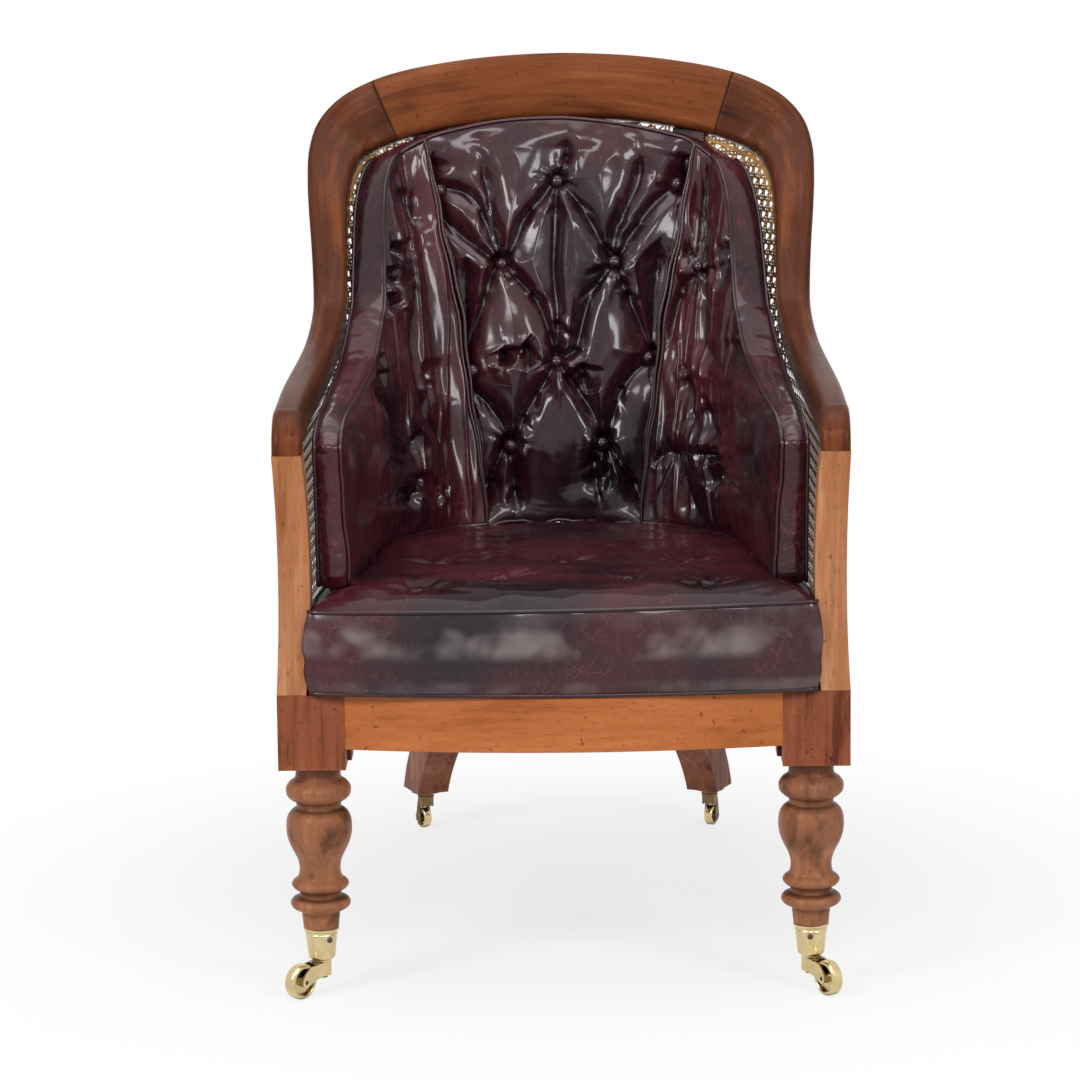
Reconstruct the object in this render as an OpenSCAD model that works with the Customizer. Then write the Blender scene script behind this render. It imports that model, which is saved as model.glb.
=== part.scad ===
// Caned library armchair with loose leather squabs, on turned front legs, sabre rear legs and castors.
// Millimetres. X to the viewer's right, Y to the back, Z up, the floor at z = 0.

/* [Frame] */
// Half of the width over the arms and the front leg blocks
half_w = 309; // [280:1:340]
// Top of the crest rail above the floor
crest_h = 984; // [900:1:1080]
// Arm tops above the floor, at their front ends
arm_h = 648; // [600:1:700]
// Top of the seat rails above the floor
seat_h = 342; // [320:1:380]
// From the front leg axes back to the top edge of the crest
crest_back = 660; // [600:1:720]
// From the front leg axes back to the middle of the whole depth
origin_back = 341.1; // [280:0.1:360]

/* [Upper rail] */
// Width of the arm's top face at the front
arm_face_w = 32; // [26:1:44]
// Width of the crest's face in the middle
crest_face_w = 79; // [64:1:100]
// Thickness of the arm rail, and depth of the arm support under it
arm_t = 38; // [30:1:44]
// Thickness of the crest rail
crest_t = 38; // [30:1:46]
// Drop of the arm's turned-down front end, to its joint with the support
arm_drop = 45; // [30:1:60]
// Rounding of the face's two edges
face_edge_r = 7; // [3:0.5:12]
// Rounding of the back edges
back_edge_r = 6; // [3:0.5:12]
// Lean of the crest's face, in degrees
crest_lean = 10; // [4:0.5:16]

/* [Seat frame] */
// From the outer side of the arms in to the round of the seat frame
seat_set = 27; // [16:1:40]
// From the front leg axes back to the middle of that radius
arc_y = 298; // [270:1:320]
// Angle at which the sides close in towards the back
side_taper = 4.4; // [2:0.1:7]
// Height of the seat rails
rail_h = 60; // [45:1:75]
// Thickness of the side and rear seat rails
rail_t = 42; // [32:1:50]
// Thickness of the front seat rail at its ends
front_rail_t = 38; // [30:1:50]
// How far the front rail bows forward in the middle
front_bow = 24; // [10:1:35]
// How far the turning's axis lies inside the middle of its block
leg_inset = 4; // [0:0.5:8]
// Width of the rebate that holds the seat cane
rebate_w = 14; // [8:1:20]
// Depth of that rebate
rebate_d = 4; // [3:0.5:6]
// Length of the tenons in the front legs
tenon_l = 28; // [16:1:40]
// Thickness of all the tenons
tenon_t = 12; // [8:1:16]
// Height of all the tenons
tenon_h = 42; // [30:1:44]

/* [Front legs] */
// Side of the square block at the top of each front leg
block_w = 73; // [60:1:90]
// Underside of that block above the floor
block_low = 259; // [240:1:270]
// Largest radius of the turning
turn_r = 36; // [28:0.5:42]
// Top of the brass cup above the floor
cup_top = 75; // [68:0.5:82]
// Radius of the wood where it enters the cup
toe_r = 17.2; // [14:0.1:19]
// Radius of the wood at its lower end, inside the cup
toe_end_r = 12.6; // [10:0.1:16]

/* [Arm supports] */
// Width of the front face of each support
support_w = 32; // [26:1:44]
// How far the support bows inwards between its ends
support_bow = 6; // [2:0.5:12]

/* [Rear legs] */
// Angle between each rear leg's plane and the middle plane
leg_turn = 23.5; // [15:0.5:35]
// Width of each rear leg across its plane
leg_w = 41; // [30:1:48]
// From the outer side of the seat frame in to the leg's middle
leg_set = 14; // [8:1:24]
// How far the leg sweeps back from the seat to the foot
leg_sweep = 184; // [120:1:220]
// Foot of the rear leg's wood above the floor
leg_low = 51; // [46:0.5:58]
// Depth of the leg at the seat
leg_seat_d = 52; // [40:1:60]
// Depth of the leg at the foot
leg_foot_d = 47; // [34:1:52]
// Depth of the stile under the crest
stile_top_d = 18; // [12:1:24]

/* [Cane] */
// Thickness of the woven cane panels
cane_t = 2; // [1.5:0.1:3]
// From the outer side of the frame in to the middle of the side and back cane
cane_in = 20; // [14:0.5:24]
// Width of the cane binding
binding_w = 4.5; // [3:0.5:7]
// Thickness of the cane binding
binding_t = 1.6; // [1:0.1:2.5]

/* [Squabs] */
// Top edge of the seat squab above the floor
squab_top = 437; // [420:1:470]
// Crown of the seat squab above that edge
squab_crown = 19; // [6:1:26]
// Fall of the seat squab's top from front to back
squab_fall = 24; // [0:1:36]
// Thickness of the side squabs at their edges
side_squab_t = 40; // [30:1:60]
// Thickness of the back squab at its edges
back_squab_t = 56; // [40:1:80]
// Crown of the side squabs
side_crown = 14; // [4:1:24]
// Crown of the back squab
back_crown = 26; // [8:1:36]
// Depth of the buttoned tufts in the back squab
tuft_d = 26; // [10:1:34]
// Spread of each tuft
tuft_spread = 30; // [18:1:44]
// Depth of the tufts in the seat and side squabs
shallow_tuft_d = 9; // [3:0.5:14]
// Radius of the covered buttons
button_r = 8; // [5:0.5:11]
// Top of the side squab above the floor at the arm's front
side_squab_h = 620; // [600:1:636]

/* [Front castors] */
// Radius of the brass wheel
wheel_r = 19.5; // [16:0.1:24]
// Width of the wheel
wheel_w = 13.6; // [10:0.1:16]
// From the pivot's axis to the wheel's axis
trail = 33; // [26:0.5:40]
// Radius of the axle
axle_r = 2.5; // [2:0.1:3.5]
// Radius of the pivot pin
pivot_r = 4; // [3:0.1:5]
// Radius of the cup's rolled lip
cup_lip_r = 20; // [18:0.1:24]
// Underside of the cup above the floor
cup_low = 39; // [36:0.5:42]
// Thickness of the horn's cheeks
cheek_t = 2.4; // [2:0.1:4]
// Top of the horn's block above the floor
horn_top = 36; // [32:0.5:37]
// Underside of the horn's block above the floor
horn_low = 20.5; // [17:0.5:23]
// Heading of the left front castor, in degrees
left_front_heading = -132; // [-180:1:180]
// Heading of the right front castor, in degrees
right_front_heading = -58; // [-180:1:180]

/* [Rear castors] */
// Radius of the rear wheel
rear_wheel_r = 13; // [10:0.1:16]
// Width of the rear wheel
rear_wheel_w = 10.6; // [8:0.1:14]
// From the pivot's axis to the rear wheel's axis
rear_trail = 6; // [4:0.5:12]
// Thickness of the plate under the rear leg
plate_t = 3; // [2:0.1:4]
// Diameter of that plate
plate_w = 36; // [30:0.5:39]
// Radius of the plate's boss
boss_r = 10.3; // [9:0.1:12]
// Underside of the boss above the floor
boss_low = 40; // [37:0.1:43]
// Underside of the rear fork's crown above the floor
crown_low = 30; // [28:0.1:33]
// Heading of the left rear castor, in degrees
left_rear_heading = 124; // [-180:1:180]
// Heading of the right rear castor, in degrees
right_rear_heading = 63; // [-180:1:180]

/* [Fits] */
// Radial clearance of each running fit
run_clear = 0.05; // [0.02:0.01:0.1]
// Gap between faces that move past each other
side_clear = 0.4; // [0.3:0.05:0.8]
// Gap between loose or soft pieces and what they rest on
rest_gap = 0.5; // [0.3:0.05:1]

/* [Hidden] */
cut = 1;                       // overrun of cuts
over = 2*crest_h;              // larger than the object, for clipping
wood_dark = [0.33, 0.13, 0.07];
wood_mid = [0.45, 0.2, 0.1];
wood_gold = [0.62, 0.33, 0.14];
cane_gold = [0.78, 0.54, 0.24];
leather_red = [0.2, 0.05, 0.08];
brass_gold = [0.78, 0.62, 0.3];
bronze_dark = [0.2, 0.17, 0.13];

// Small helpers
function mix(a, b, t) = a + (b - a)*t;
function unit(v) = v/norm(v);
function clamp(t) = min(1, max(0, t));
function ease(t) = let(c = clamp(t)) c*c*(3 - 2*c);
function xyz(p) = [p[0], p[1], p[2]];
function flip(p) = [-p[0], p[1], p[2]];
function spline(a, b, c, d, t) =
  (2*b + (c - a)*t + (2*a - 5*b + 4*c - d)*t*t + (3*b - a - 3*c + d)*t*t*t)/2;
function bezier(a, b, c, d, t) =
  let(u = 1 - t) u*u*u*a + 3*u*u*t*b + 3*u*t*t*c + t*t*t*d;
function smooth(points, steps) = concat([points[0]],
  [for (i = [0:len(points) - 2], k = [1:steps])
    spline(points[max(i - 1, 0)], points[i], points[i + 1], points[min(i + 2, len(points) - 1)], k/steps)]);

// A solid from rings of points: side triangles and two flat ends
function ring_faces(n, m, wind) = concat(
  [for (i = [0:n - 2], j = [0:m - 1]) let(a = i*m + j, b = i*m + (j + 1)%m)
    wind ? [a, b, b + m] : [a, b + m, b]],
  [for (i = [0:n - 2], j = [0:m - 1]) let(a = i*m + j, b = i*m + (j + 1)%m)
    wind ? [a, b + m, a + m] : [a, a + m, b + m]],
  [wind ? [for (j = [m - 1:-1:0]) j] : [for (j = [0:m - 1]) j]],
  [wind ? [for (j = [0:m - 1]) (n - 1)*m + j] : [for (j = [m - 1:-1:0]) (n - 1)*m + j]]);
module sweep(rings, wind = true)
  polyhedron([for (r = rings, p = r) p], ring_faces(len(rings), len(rings[0]), wind), convexity = 8);

module placed() translate([0, -origin_back, 0]) children();
module mirrored(side) mirror([side < 0 ? 1 : 0, 0, 0]) children();

seat_r = half_w - seat_set;
leg_seat_r = seat_r - leg_set;
leg_foot_r = leg_seat_r + leg_sweep;
// The seat frame's plan: straight sides that close in, and a round back. inset is measured inwards.
function plan_x(y, inset) = (seat_r - inset - (y - arc_y)*sin(side_taper))/cos(side_taper);
function plan_arc(inset, a) = [(seat_r - inset)*cos(a), arc_y + (seat_r - inset)*sin(a)];
plan_steps = 44;
function plan_outline(inset, y) = concat([[plan_x(y, inset), y]],
  [for (i = [0:plan_steps]) plan_arc(inset, side_taper + (180 - 2*side_taper)*i/plan_steps)],
  [[-plan_x(y, inset), y]]);
leg_angle = 90 - leg_turn;
block_back = block_w/2;
block_in = half_w - block_w;
leg_x = half_w - block_w/2 - leg_inset;
front_y = -block_w/2;
rail_low = seat_h - rail_h;

// The upper rail: its outer top edge from the arm's joint to the crest's middle.
// Shares of the half width, of the crest's depth, of the rise above the arm and of the face's widening.
rail_shares = [
  [0.997, 0.050, 0.009, 0.01], [0.993, 0.155, 0.027, 0.04], [0.985, 0.289, 0.039, 0.05],
  [0.975, 0.432, 0.051, 0.055], [0.965, 0.540, 0.071, 0.06], [0.955, 0.610, 0.107, 0.075],
  [0.950, 0.664, 0.146, 0.10], [0.949, 0.700, 0.190, 0.14], [0.955, 0.740, 0.286, 0.19],
  [0.965, 0.778, 0.384, 0.24], [0.977, 0.814, 0.485, 0.31], [0.985, 0.856, 0.583, 0.42],
  [0.981, 0.897, 0.682, 0.64], [0.945, 0.931, 0.775, 0.84], [0.862, 0.956, 0.853, 0.95],
  [0.740, 0.972, 0.910, 1.00], [0.615, 0.983, 0.944, 1.01], [0.470, 0.991, 0.968, 1.00],
  [0.315, 0.996, 0.986, 0.99], [0.157, 0.999, 0.996, 0.99], [0.000, 1.000, 1.000, 1.00]
];
turn_steps = 6;
left_joint_steps = 15;         // the left joint lies at this row of rail_shares
right_joint_steps = 15.5;      // the right joint half a row further
bend_r = arm_drop;
arm_joint_h = arm_h - arm_drop;
support_front = front_y + side_clear;
stations = concat(
  [for (i = [0:turn_steps]) let(a = 90*i/turn_steps)
    [half_w, support_front + bend_r*(1 - cos(a)), arm_joint_h + bend_r*sin(a), arm_face_w]],
  [for (s = rail_shares)
    [half_w*s[0], crest_back*s[1], mix(arm_h, crest_h, s[2]), mix(arm_face_w, crest_face_w, s[3])]]);
station_n = len(stations);
function station(i) = i < station_n ? stations[i]
  : let(p = stations[2*station_n - 2 - i]) [-p[0], p[1], p[2], p[3]];
rail = concat([for (i = [0:turn_steps]) stations[i]],
  [for (i = [turn_steps:station_n - 2], k = [1:2])
    spline(station(i - 1), station(i), station(i + 1), station(i + 2), k/2)]);
ring_n = len(rail);
function ring_of(share_row) = turn_steps + 2*(share_row + 1);
function along(i) = i == 0 ? [0, 0, 1] : i == ring_n - 1 ? [-1, 0, 0]
  : unit(xyz(rail[i + 1]) - xyz(rail[i - 1]));
function crested(i) = ease(((rail[i][2] - arm_h)/(crest_h - arm_h) - 0.12)/0.5);
arm_back_share = 0.2;
function behind(i) = let(t = along(i),
  b = mix([0, arm_back_share, -1], [0, 1, -tan(crest_lean)], crested(i))) unit(b - t*(b*t));
function across(i) = cross(along(i), behind(i));
function thick(i) = mix(arm_t, crest_t, crested(i));
function at_rail(i, a, c) = xyz(rail[i]) + across(i)*a + behind(i)*c;

// The rail's section. Points 7 and 8 bound the strip where the cane meets it:
// under the arm, and round to the inner side of the crest.
function corner(a, c, r, from, n) = [for (j = [0:n])
  [a + r*cos(from + 90*j/n), c + r*sin(from + 90*j/n)]];
function section(i) = let(w = rail[i][3], t = thick(i), k = crested(i))
  let(e = face_edge_r, b = back_edge_r, h = cane_t/2)
  concat(corner(e, e, e, 180, 2), corner(w - e, e, e, 270, 2),
    [mix([w, t - 2*b], [w, cane_in - 2*cane_t], k),
     mix([cane_in + h, t], [w, cane_in - h], k),
     mix([cane_in - h, t], [w, cane_in + h], k)],
    [for (p = [0:1])
      mix([mix(cane_in - h, b, 0.3 + 0.3*p), t], corner(w - b, t - b, b, 0, 1)[p], k)],
    corner(b, t - b, b, 90, 2));
function rail_ring(i) = [for (p = section(i)) at_rail(i, p[0], p[1])];
rail_rings = [for (i = [0:ring_n - 1]) rail_ring(i)];
dowel_r = 5;
dowel_l = 36;
module along_rail(i, a, c) let(t = along(i), w = across(i), b = behind(i), o = at_rail(i, a, c))
  multmatrix([[w[0], b[0], t[0], o[0]], [w[1], b[1], t[1], o[1]], [w[2], b[2], t[2], o[2]], [0, 0, 0, 1]])
    children();
module joint_dowel(i) along_rail(i, rail[i][3]/2, thick(i)/2)
  cylinder(h = dowel_l, r = dowel_r, center = true, $fn = 24);
module support_dowels() for (z = [seat_h, arm_joint_h])
  translate([half_w - support_w/2, support_front + arm_t/2, z])
    cylinder(h = dowel_l, r = dowel_r, center = true, $fn = 24);
module arm_rail(last) difference() {
  sweep([for (i = [0:last]) rail_rings[i]]);
  joint_dowel(last);
  support_dowels();
}
module right_arm_rail() color(wood_dark) placed() arm_rail(ring_of(right_joint_steps));
module left_arm_rail() color(wood_dark) placed() mirrored(-1) arm_rail(ring_of(left_joint_steps));
module crest_rail() color(wood_mid) placed() difference() {
  sweep(concat([for (i = [ring_of(right_joint_steps):ring_n - 1]) rail_rings[i]],
    [for (i = [ring_n - 2:-1:ring_of(left_joint_steps)]) [for (p = rail_rings[i]) flip(p)]]));
  joint_dowel(ring_of(right_joint_steps));
  mirrored(-1) joint_dowel(ring_of(left_joint_steps));
}
module frame_dowels() color(wood_gold) placed() {
  joint_dowel(ring_of(right_joint_steps));
  mirrored(-1) joint_dowel(ring_of(left_joint_steps));
  for (s = [-1, 1]) mirrored(s) support_dowels();
}

// Arm supports: a front outline with a slight inward bow
support_steps = 16;
function bow_at(t) = support_bow*(1 - pow(2*t - 1, 2));
module arm_support() difference() {
  translate([0, support_front + arm_t, 0]) rotate([90, 0, 0]) linear_extrude(arm_t)
    polygon(concat(
      [for (i = [0:support_steps]) let(t = i/support_steps)
        [half_w - 0.75*bow_at(t), mix(seat_h, arm_joint_h, t)]],
      [for (i = [support_steps:-1:0]) let(t = i/support_steps)
        [half_w - support_w - 1.1*bow_at(t), mix(seat_h, arm_joint_h, t)]]));
  support_dowels();
}
module right_arm_support() color(wood_gold) placed() arm_support();
module left_arm_support() color(wood_gold) placed() mirrored(-1) arm_support();

// Front legs. Shares of the largest radius, and of the height from the cup to the block.
leg_turning_shares = [
  [0.695, 1.000], [0.683, 0.951], [0.711, 0.913], [0.875, 0.889], [0.978, 0.859], [0.986, 0.837],
  [0.961, 0.810], [0.833, 0.784], [0.700, 0.769], [0.678, 0.750], [0.689, 0.734], [0.794, 0.721],
  [0.906, 0.698], [0.978, 0.663], [1.000, 0.609], [0.978, 0.565], [0.925, 0.527], [0.844, 0.489],
  [0.744, 0.451], [0.667, 0.416], [0.625, 0.375], [0.631, 0.337], [0.683, 0.307], [0.789, 0.291],
  [0.861, 0.275], [0.861, 0.259], [0.783, 0.240], [0.672, 0.229], [0.633, 0.215], [0.639, 0.198],
  [0.681, 0.190], [0.833, 0.178], [0.908, 0.158], [0.900, 0.139], [0.819, 0.120], [0.667, 0.106],
  [0.589, 0.097], [0.578, 0.076], [0.558, 0.040], [0.536, 0.000]
];
toe_low = cup_low + 2*pivot_r;
function wood_at(z) = mix(toe_end_r, toe_r, (z - toe_low)/(cup_top - toe_low));
leg_outline = concat([[0, block_low]],
  smooth([for (s = leg_turning_shares) [turn_r*s[0], mix(cup_top, block_low, s[1])]], 2),
  [[toe_r, cup_top], [toe_end_r, toe_low], [0, toe_low]]);
screw_r = 1.4;
screw_head_r = 3.2;
cup_screw_z = mix(cup_low, cup_top, 0.655);
left_screw_turn = -54;
right_screw_turn = -96;
module cup_screw_hole() translate([0, 0, cup_screw_z]) rotate([0, 90, 0])
  cylinder(h = cup_lip_r, r = screw_r, $fn = 24);
mortise_z = seat_h - rail_h/2 - tenon_h/2;
front_tenon_y = front_y + front_rail_t/2 - tenon_t/2;
side_tenon_x = plan_x(block_back, rail_t/2) - tenon_t/2;
module side_tenon(l) translate([side_tenon_x, block_back - l, mortise_z])
  cube([tenon_t, l + tenon_t, tenon_h]);
module front_tenon(l) translate([block_in - tenon_t, front_tenon_y, mortise_z])
  cube([l + tenon_t, tenon_t, tenon_h]);
corner_screw_r = 2;
corner_screw_head_r = 4.5;
corner_screw_l = 40;
corner_low = rail_low - tenon_h/2;
corner_h = tenon_h + tenon_t + tenon_h/4;
module corner_screws(with_head) for (z = [corner_low + corner_h/4, corner_low + 3*corner_h/4])
  translate([block_in + corner_step/4, block_back + corner_step/4, z]) rotate([0, 90, -45]) {
    translate([0, 0, -corner_step/2]) cylinder(h = corner_screw_l, r = corner_screw_r, $fn = 24);
    if (with_head) translate([0, 0, -corner_step/2 - screw_head_r/2])
      cylinder(h = screw_head_r/2, r = corner_screw_head_r, $fn = 24);
  }
module front_leg(screw_turn) difference() {
  union() {
    translate([block_in, front_y, block_low]) cube([block_w, block_w, seat_h - block_low]);
    translate([leg_x, 0, 0]) rotate_extrude($fn = 96) polygon(leg_outline);
  }
  side_tenon(tenon_l);
  front_tenon(tenon_l);
  support_dowels();
  corner_screws(false);
  translate([leg_x, 0, 0]) rotate(screw_turn) cup_screw_hole();
}
module right_front_leg() color(wood_mid) placed() front_leg(right_screw_turn);
module left_front_leg() color(wood_mid) placed() mirrored(-1) front_leg(180 - left_screw_turn);

// Seat rails
front_steps = 24;
rebate_in = rail_t - rebate_w;
module cane_rebate() translate([0, 0, seat_h - rebate_d]) linear_extrude(rebate_d + cut)
  polygon(plan_outline(rebate_in, front_y + front_rail_t - rebate_w));
module front_seat_rail() color(wood_gold) placed() difference() {
  union() {
    translate([0, 0, rail_low]) linear_extrude(rail_h) polygon(concat(
      [for (i = [0:front_steps]) let(t = 2*i/front_steps - 1)
        [block_in*t, front_y - front_bow*(1 - t*t)]],
      [[block_in, front_y + front_rail_t], [-block_in, front_y + front_rail_t]]));
    for (s = [-1, 1]) mirrored(s) front_tenon(tenon_l);
  }
  cane_rebate();
}
module in_leg_plane() translate([0, arc_y, 0]) rotate(-leg_turn) children();
leg_tenon_l = leg_w/2 - tenon_t/4;
module leg_tenon(s, l) in_leg_plane() mirrored(s)
  translate([leg_w/2 - l, seat_r - rail_t/2 - tenon_t/2, mortise_z]) cube([l + tenon_t, tenon_t, tenon_h]);
module side_rail() difference() {
  union() {
    difference() {
      translate([0, 0, rail_low]) linear_extrude(rail_h) polygon(plan_outline(0, block_back));
      translate([0, 0, rail_low - cut]) linear_extrude(rail_h + 2*cut)
        polygon(plan_outline(rail_t, front_y));
      in_leg_plane() translate([leg_w/2 - over, -over/2, 0]) cube([over, over, over]);
    }
    side_tenon(tenon_l);
    leg_tenon(1, leg_tenon_l);
  }
  cane_rebate();
}
module right_seat_rail() color(wood_mid) placed() side_rail();
module left_seat_rail() color(wood_mid) placed() mirrored(-1) side_rail();
module rear_seat_rail() color(wood_mid) placed() difference() {
  union() {
    difference() {
      translate([0, 0, rail_low]) linear_extrude(rail_h) polygon(plan_outline(0, arc_y));
      translate([0, 0, rail_low - cut]) linear_extrude(rail_h + 2*cut)
        polygon(plan_outline(rail_t, front_y));
      for (s = [-1, 1]) mirrored(s) in_leg_plane() translate([-leg_w/2, -over/2, 0])
        cube([over, over, over]);
    }
    for (s = [-1, 1]) mirrored(s) leg_tenon(-1, leg_tenon_l);
  }
  cane_rebate();
}

// Rear legs and stiles: one sawn outline in each leg's own plane
function plane_x(p) = p[0]*cos(leg_turn) - (p[1] - arc_y)*sin(leg_turn);
stile_ring = [for (i = [0:ring_n - 1]) let(p = rail_rings[i][7])
  if (plane_x(p) < 0 && p[2] > arm_h) i][0];
stile_top = rail_rings[stile_ring][7];
stile_top_r = norm([stile_top[0], stile_top[1] - arc_y]);
sabre_shares = [[0, 1.05], [0.156, 0.706], [0.844, 0.39], [1, 0]];
sabre = [for (p = sabre_shares) [mix(leg_seat_r, leg_foot_r, p[0]), mix(leg_low, rail_low, p[1])]];
sabre_steps = 14;
function sabre_at(t) = bezier(sabre[0], sabre[1], sabre[2], sabre[3], t);
function sabre_edge(t, side) = let(d = unit(sabre_at(t + 0.01) - sabre_at(t - 0.01)),
  h = mix(leg_seat_d, leg_foot_d, t)/2*side) sabre_at(t) + [-d[1], d[0]]*h;
stile_in_low = [seat_r - cane_in - cane_t/2, seat_h];
stile_in_top = stile_in_low + ([stile_top_r, stile_top[2]] - stile_in_low)
  *(stile_top[2] + crest_t - seat_h)/(stile_top[2] - seat_h);
leg_profile = concat(
  [for (i = [sabre_steps + 1:-1:0]) sabre_edge(i/sabre_steps, -1)],
  [[leg_seat_r - leg_seat_d/2, seat_h], stile_in_low, stile_in_top,
   stile_in_top + [stile_top_d, 0], [leg_seat_r + leg_seat_d/2, seat_h + leg_seat_d/2]],
  [for (i = [0:sabre_steps + 1]) sabre_edge(i/sabre_steps, 1)]);
foot_x = leg_foot_r*sin(leg_turn);
foot_y = arc_y + leg_foot_r*cos(leg_turn);
module at_foot() translate([foot_x, foot_y, 0]) rotate(-leg_turn) children();
plate_screw_l = 14;
module plate_screws_at(with_head) for (a = [45:90:315])
  rotate(a) translate([plate_w/2 - screw_head_r - screw_r/2, 0, leg_low - plate_t]) {
    cylinder(h = plate_t + plate_screw_l, r = screw_r, $fn = 24);
    if (with_head) translate([0, 0, -screw_r/2]) cylinder(h = screw_r/2, r = screw_head_r, $fn = 24);
  }
module rear_leg() difference() {
  in_leg_plane() rotate([90, 0, 90]) translate([0, 0, -leg_w/2]) linear_extrude(leg_w)
    polygon(leg_profile);
  translate([-over/2, -over/2, leg_low - over]) cube([over, over, over]);
  along_rail(stile_ring, rail[stile_ring][3] - back_edge_r - over, -over/2)
    translate([0, 0, -over/2]) cube([over, over, over]);
  for (z = [0, -rest_gap]) translate([0, 0, z]) sweep(rail_rings);
  leg_tenon(1, leg_tenon_l);
  leg_tenon(-1, leg_tenon_l);
  cane_rebate();
  at_foot() plate_screws_at(false);
}
module right_rear_leg() color(wood_mid) placed() rear_leg();
module left_rear_leg() color(wood_mid) placed() mirrored(-1) rear_leg();

// Glue blocks in the two front corners, hanging a little below the rails
corner_show = 4.5;
corner_step = 24;
module corner_block() difference() {
  translate([0, 0, corner_low]) linear_extrude(corner_h) polygon([
    [block_in, front_y + front_rail_t], [block_in, block_back],
    [plan_x(block_back + corner_step, rail_t), block_back],
    [plan_x(block_back + corner_step, rail_t), block_back + corner_step],
    [block_in + corner_step/4, block_back + corner_step], [block_in - corner_show, block_back],
    [block_in - corner_show, front_y + front_rail_t]]);
  corner_screws(false);
}
module corner_blocks() color(wood_mid) placed() for (s = [-1, 1]) mirrored(s) corner_block();
module corner_block_screws() color(bronze_dark) placed() for (s = [-1, 1]) mirrored(s) corner_screws(true);

cane_gap = 2.4*rest_gap;

// Cane. Each side or back panel is a ruled sheet from the rail's strip down to the seat frame.
function running(i) = i <= 0 ? 0 : running(i - 1) + norm(xyz(rail[i]) - xyz(rail[i - 1]));
run = [for (i = [0:ring_n - 1]) running(i)];
bend_ring = [for (i = [0:ring_n - 1]) if (rail[i][1] >= arc_y) i][0];
end_angle = 90;
function foot_angle(i) = i <= bend_ring ? side_taper
  : mix(side_taper, end_angle, pow((run[i] - run[bend_ring])/(run[ring_n - 1] - run[bend_ring]), 0.92));
function foot(i, inset) = i <= bend_ring ? [plan_x(rail_rings[i][7][1], inset), rail_rings[i][7][1]]
  : plan_arc(inset, foot_angle(i));
function panel_column(i) = let(b1 = foot(i, cane_in + cane_t/2), b2 = foot(i, cane_in - cane_t/2))
  let(t1 = rail_rings[i][7], t2 = rail_rings[i][8], f1 = [b1[0], b1[1], seat_h], f2 = [b2[0], b2[1], seat_h])
  [t1 + unit(f1 - t1)*cane_gap, t2 + unit(f2 - t2)*cane_gap, f2, f1];
function cut_column(p, q, x) = [for (j = [0:3])
  mix(p[j], q[j], (x - plane_x(p[j]))/(plane_x(q[j]) - plane_x(p[j])))];
panel_columns = [for (i = [0:ring_n - 1]) panel_column(i)];
stile_gap = leg_w/2 + rest_gap/2;
function column_xs(i) = [for (p = panel_columns[i]) plane_x(p)];
side_last = [for (i = [bend_ring + 1:ring_n - 2]) if (min(column_xs(i + 1)) < stile_gap) i][0];
back_first = [for (i = [bend_ring + 1:ring_n - 1]) if (max(column_xs(i)) < -stile_gap) i][0];
side_panel = concat([panel_columns[1]], [for (i = [turn_steps:side_last]) panel_columns[i]],
  [cut_column(panel_columns[side_last], panel_columns[side_last + 1], stile_gap)]);
half_back = concat(
  [cut_column(panel_columns[back_first - 1], panel_columns[back_first], -stile_gap)],
  [for (i = [back_first:ring_n - 1]) panel_columns[i]]);
function mirror_columns(c) = [for (i = [len(c) - 2:-1:0]) [for (p = c[i]) flip(p)]];
back_panel = concat(half_back, mirror_columns(half_back));
module side_cane() difference() {
  sweep(side_panel, false);
  sweep(rail_rings);
}
module right_side_cane() color(cane_gold) placed() side_cane();
module left_side_cane() color(cane_gold) placed() mirrored(-1) side_cane();
module back_cane() color(cane_gold) placed() sweep(back_panel, false);
module seat_cane() color(cane_gold) placed() difference() {
  translate([0, 0, seat_h - rebate_d]) linear_extrude(cane_t)
    polygon(plan_outline(rebate_in + rest_gap, front_y + front_rail_t - rebate_w + rest_gap));
  for (s = [-1, 1]) mirrored(s)
    translate([block_in - rest_gap, front_y, seat_h - over/2])
      cube([block_w, block_w + rest_gap, over]);
}

// The binding laid over the cane's edge: a strip near the top and one near the foot of each panel
function strip_column(c, from) = let(down = unit(c[3] - c[0]), out = unit(cross(down, [0, 0, 1])),
  n = unit(c[0] - c[1] - down*((c[0] - c[1])*down)), o = c[0] + down*from + n*rest_gap/2)
  [o, o + n*binding_t, o + down*binding_w + n*binding_t, o + down*binding_w];
function top_strip(cols) = [for (c = cols) strip_column(c, binding_w)];
function foot_strip(cols) = [for (c = cols) strip_column(c, norm(c[3] - c[0]) - 2*binding_w)];
module cane_bindings() color(cane_gold) placed() {
  sweep(top_strip(side_panel), true);
  sweep(foot_strip(side_panel), true);
  mirrored(-1) sweep(top_strip(side_panel), true);
  mirrored(-1) sweep(foot_strip(side_panel), true);
  sweep(top_strip(back_panel), true);
  sweep(foot_strip(back_panel), true);
}

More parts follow.
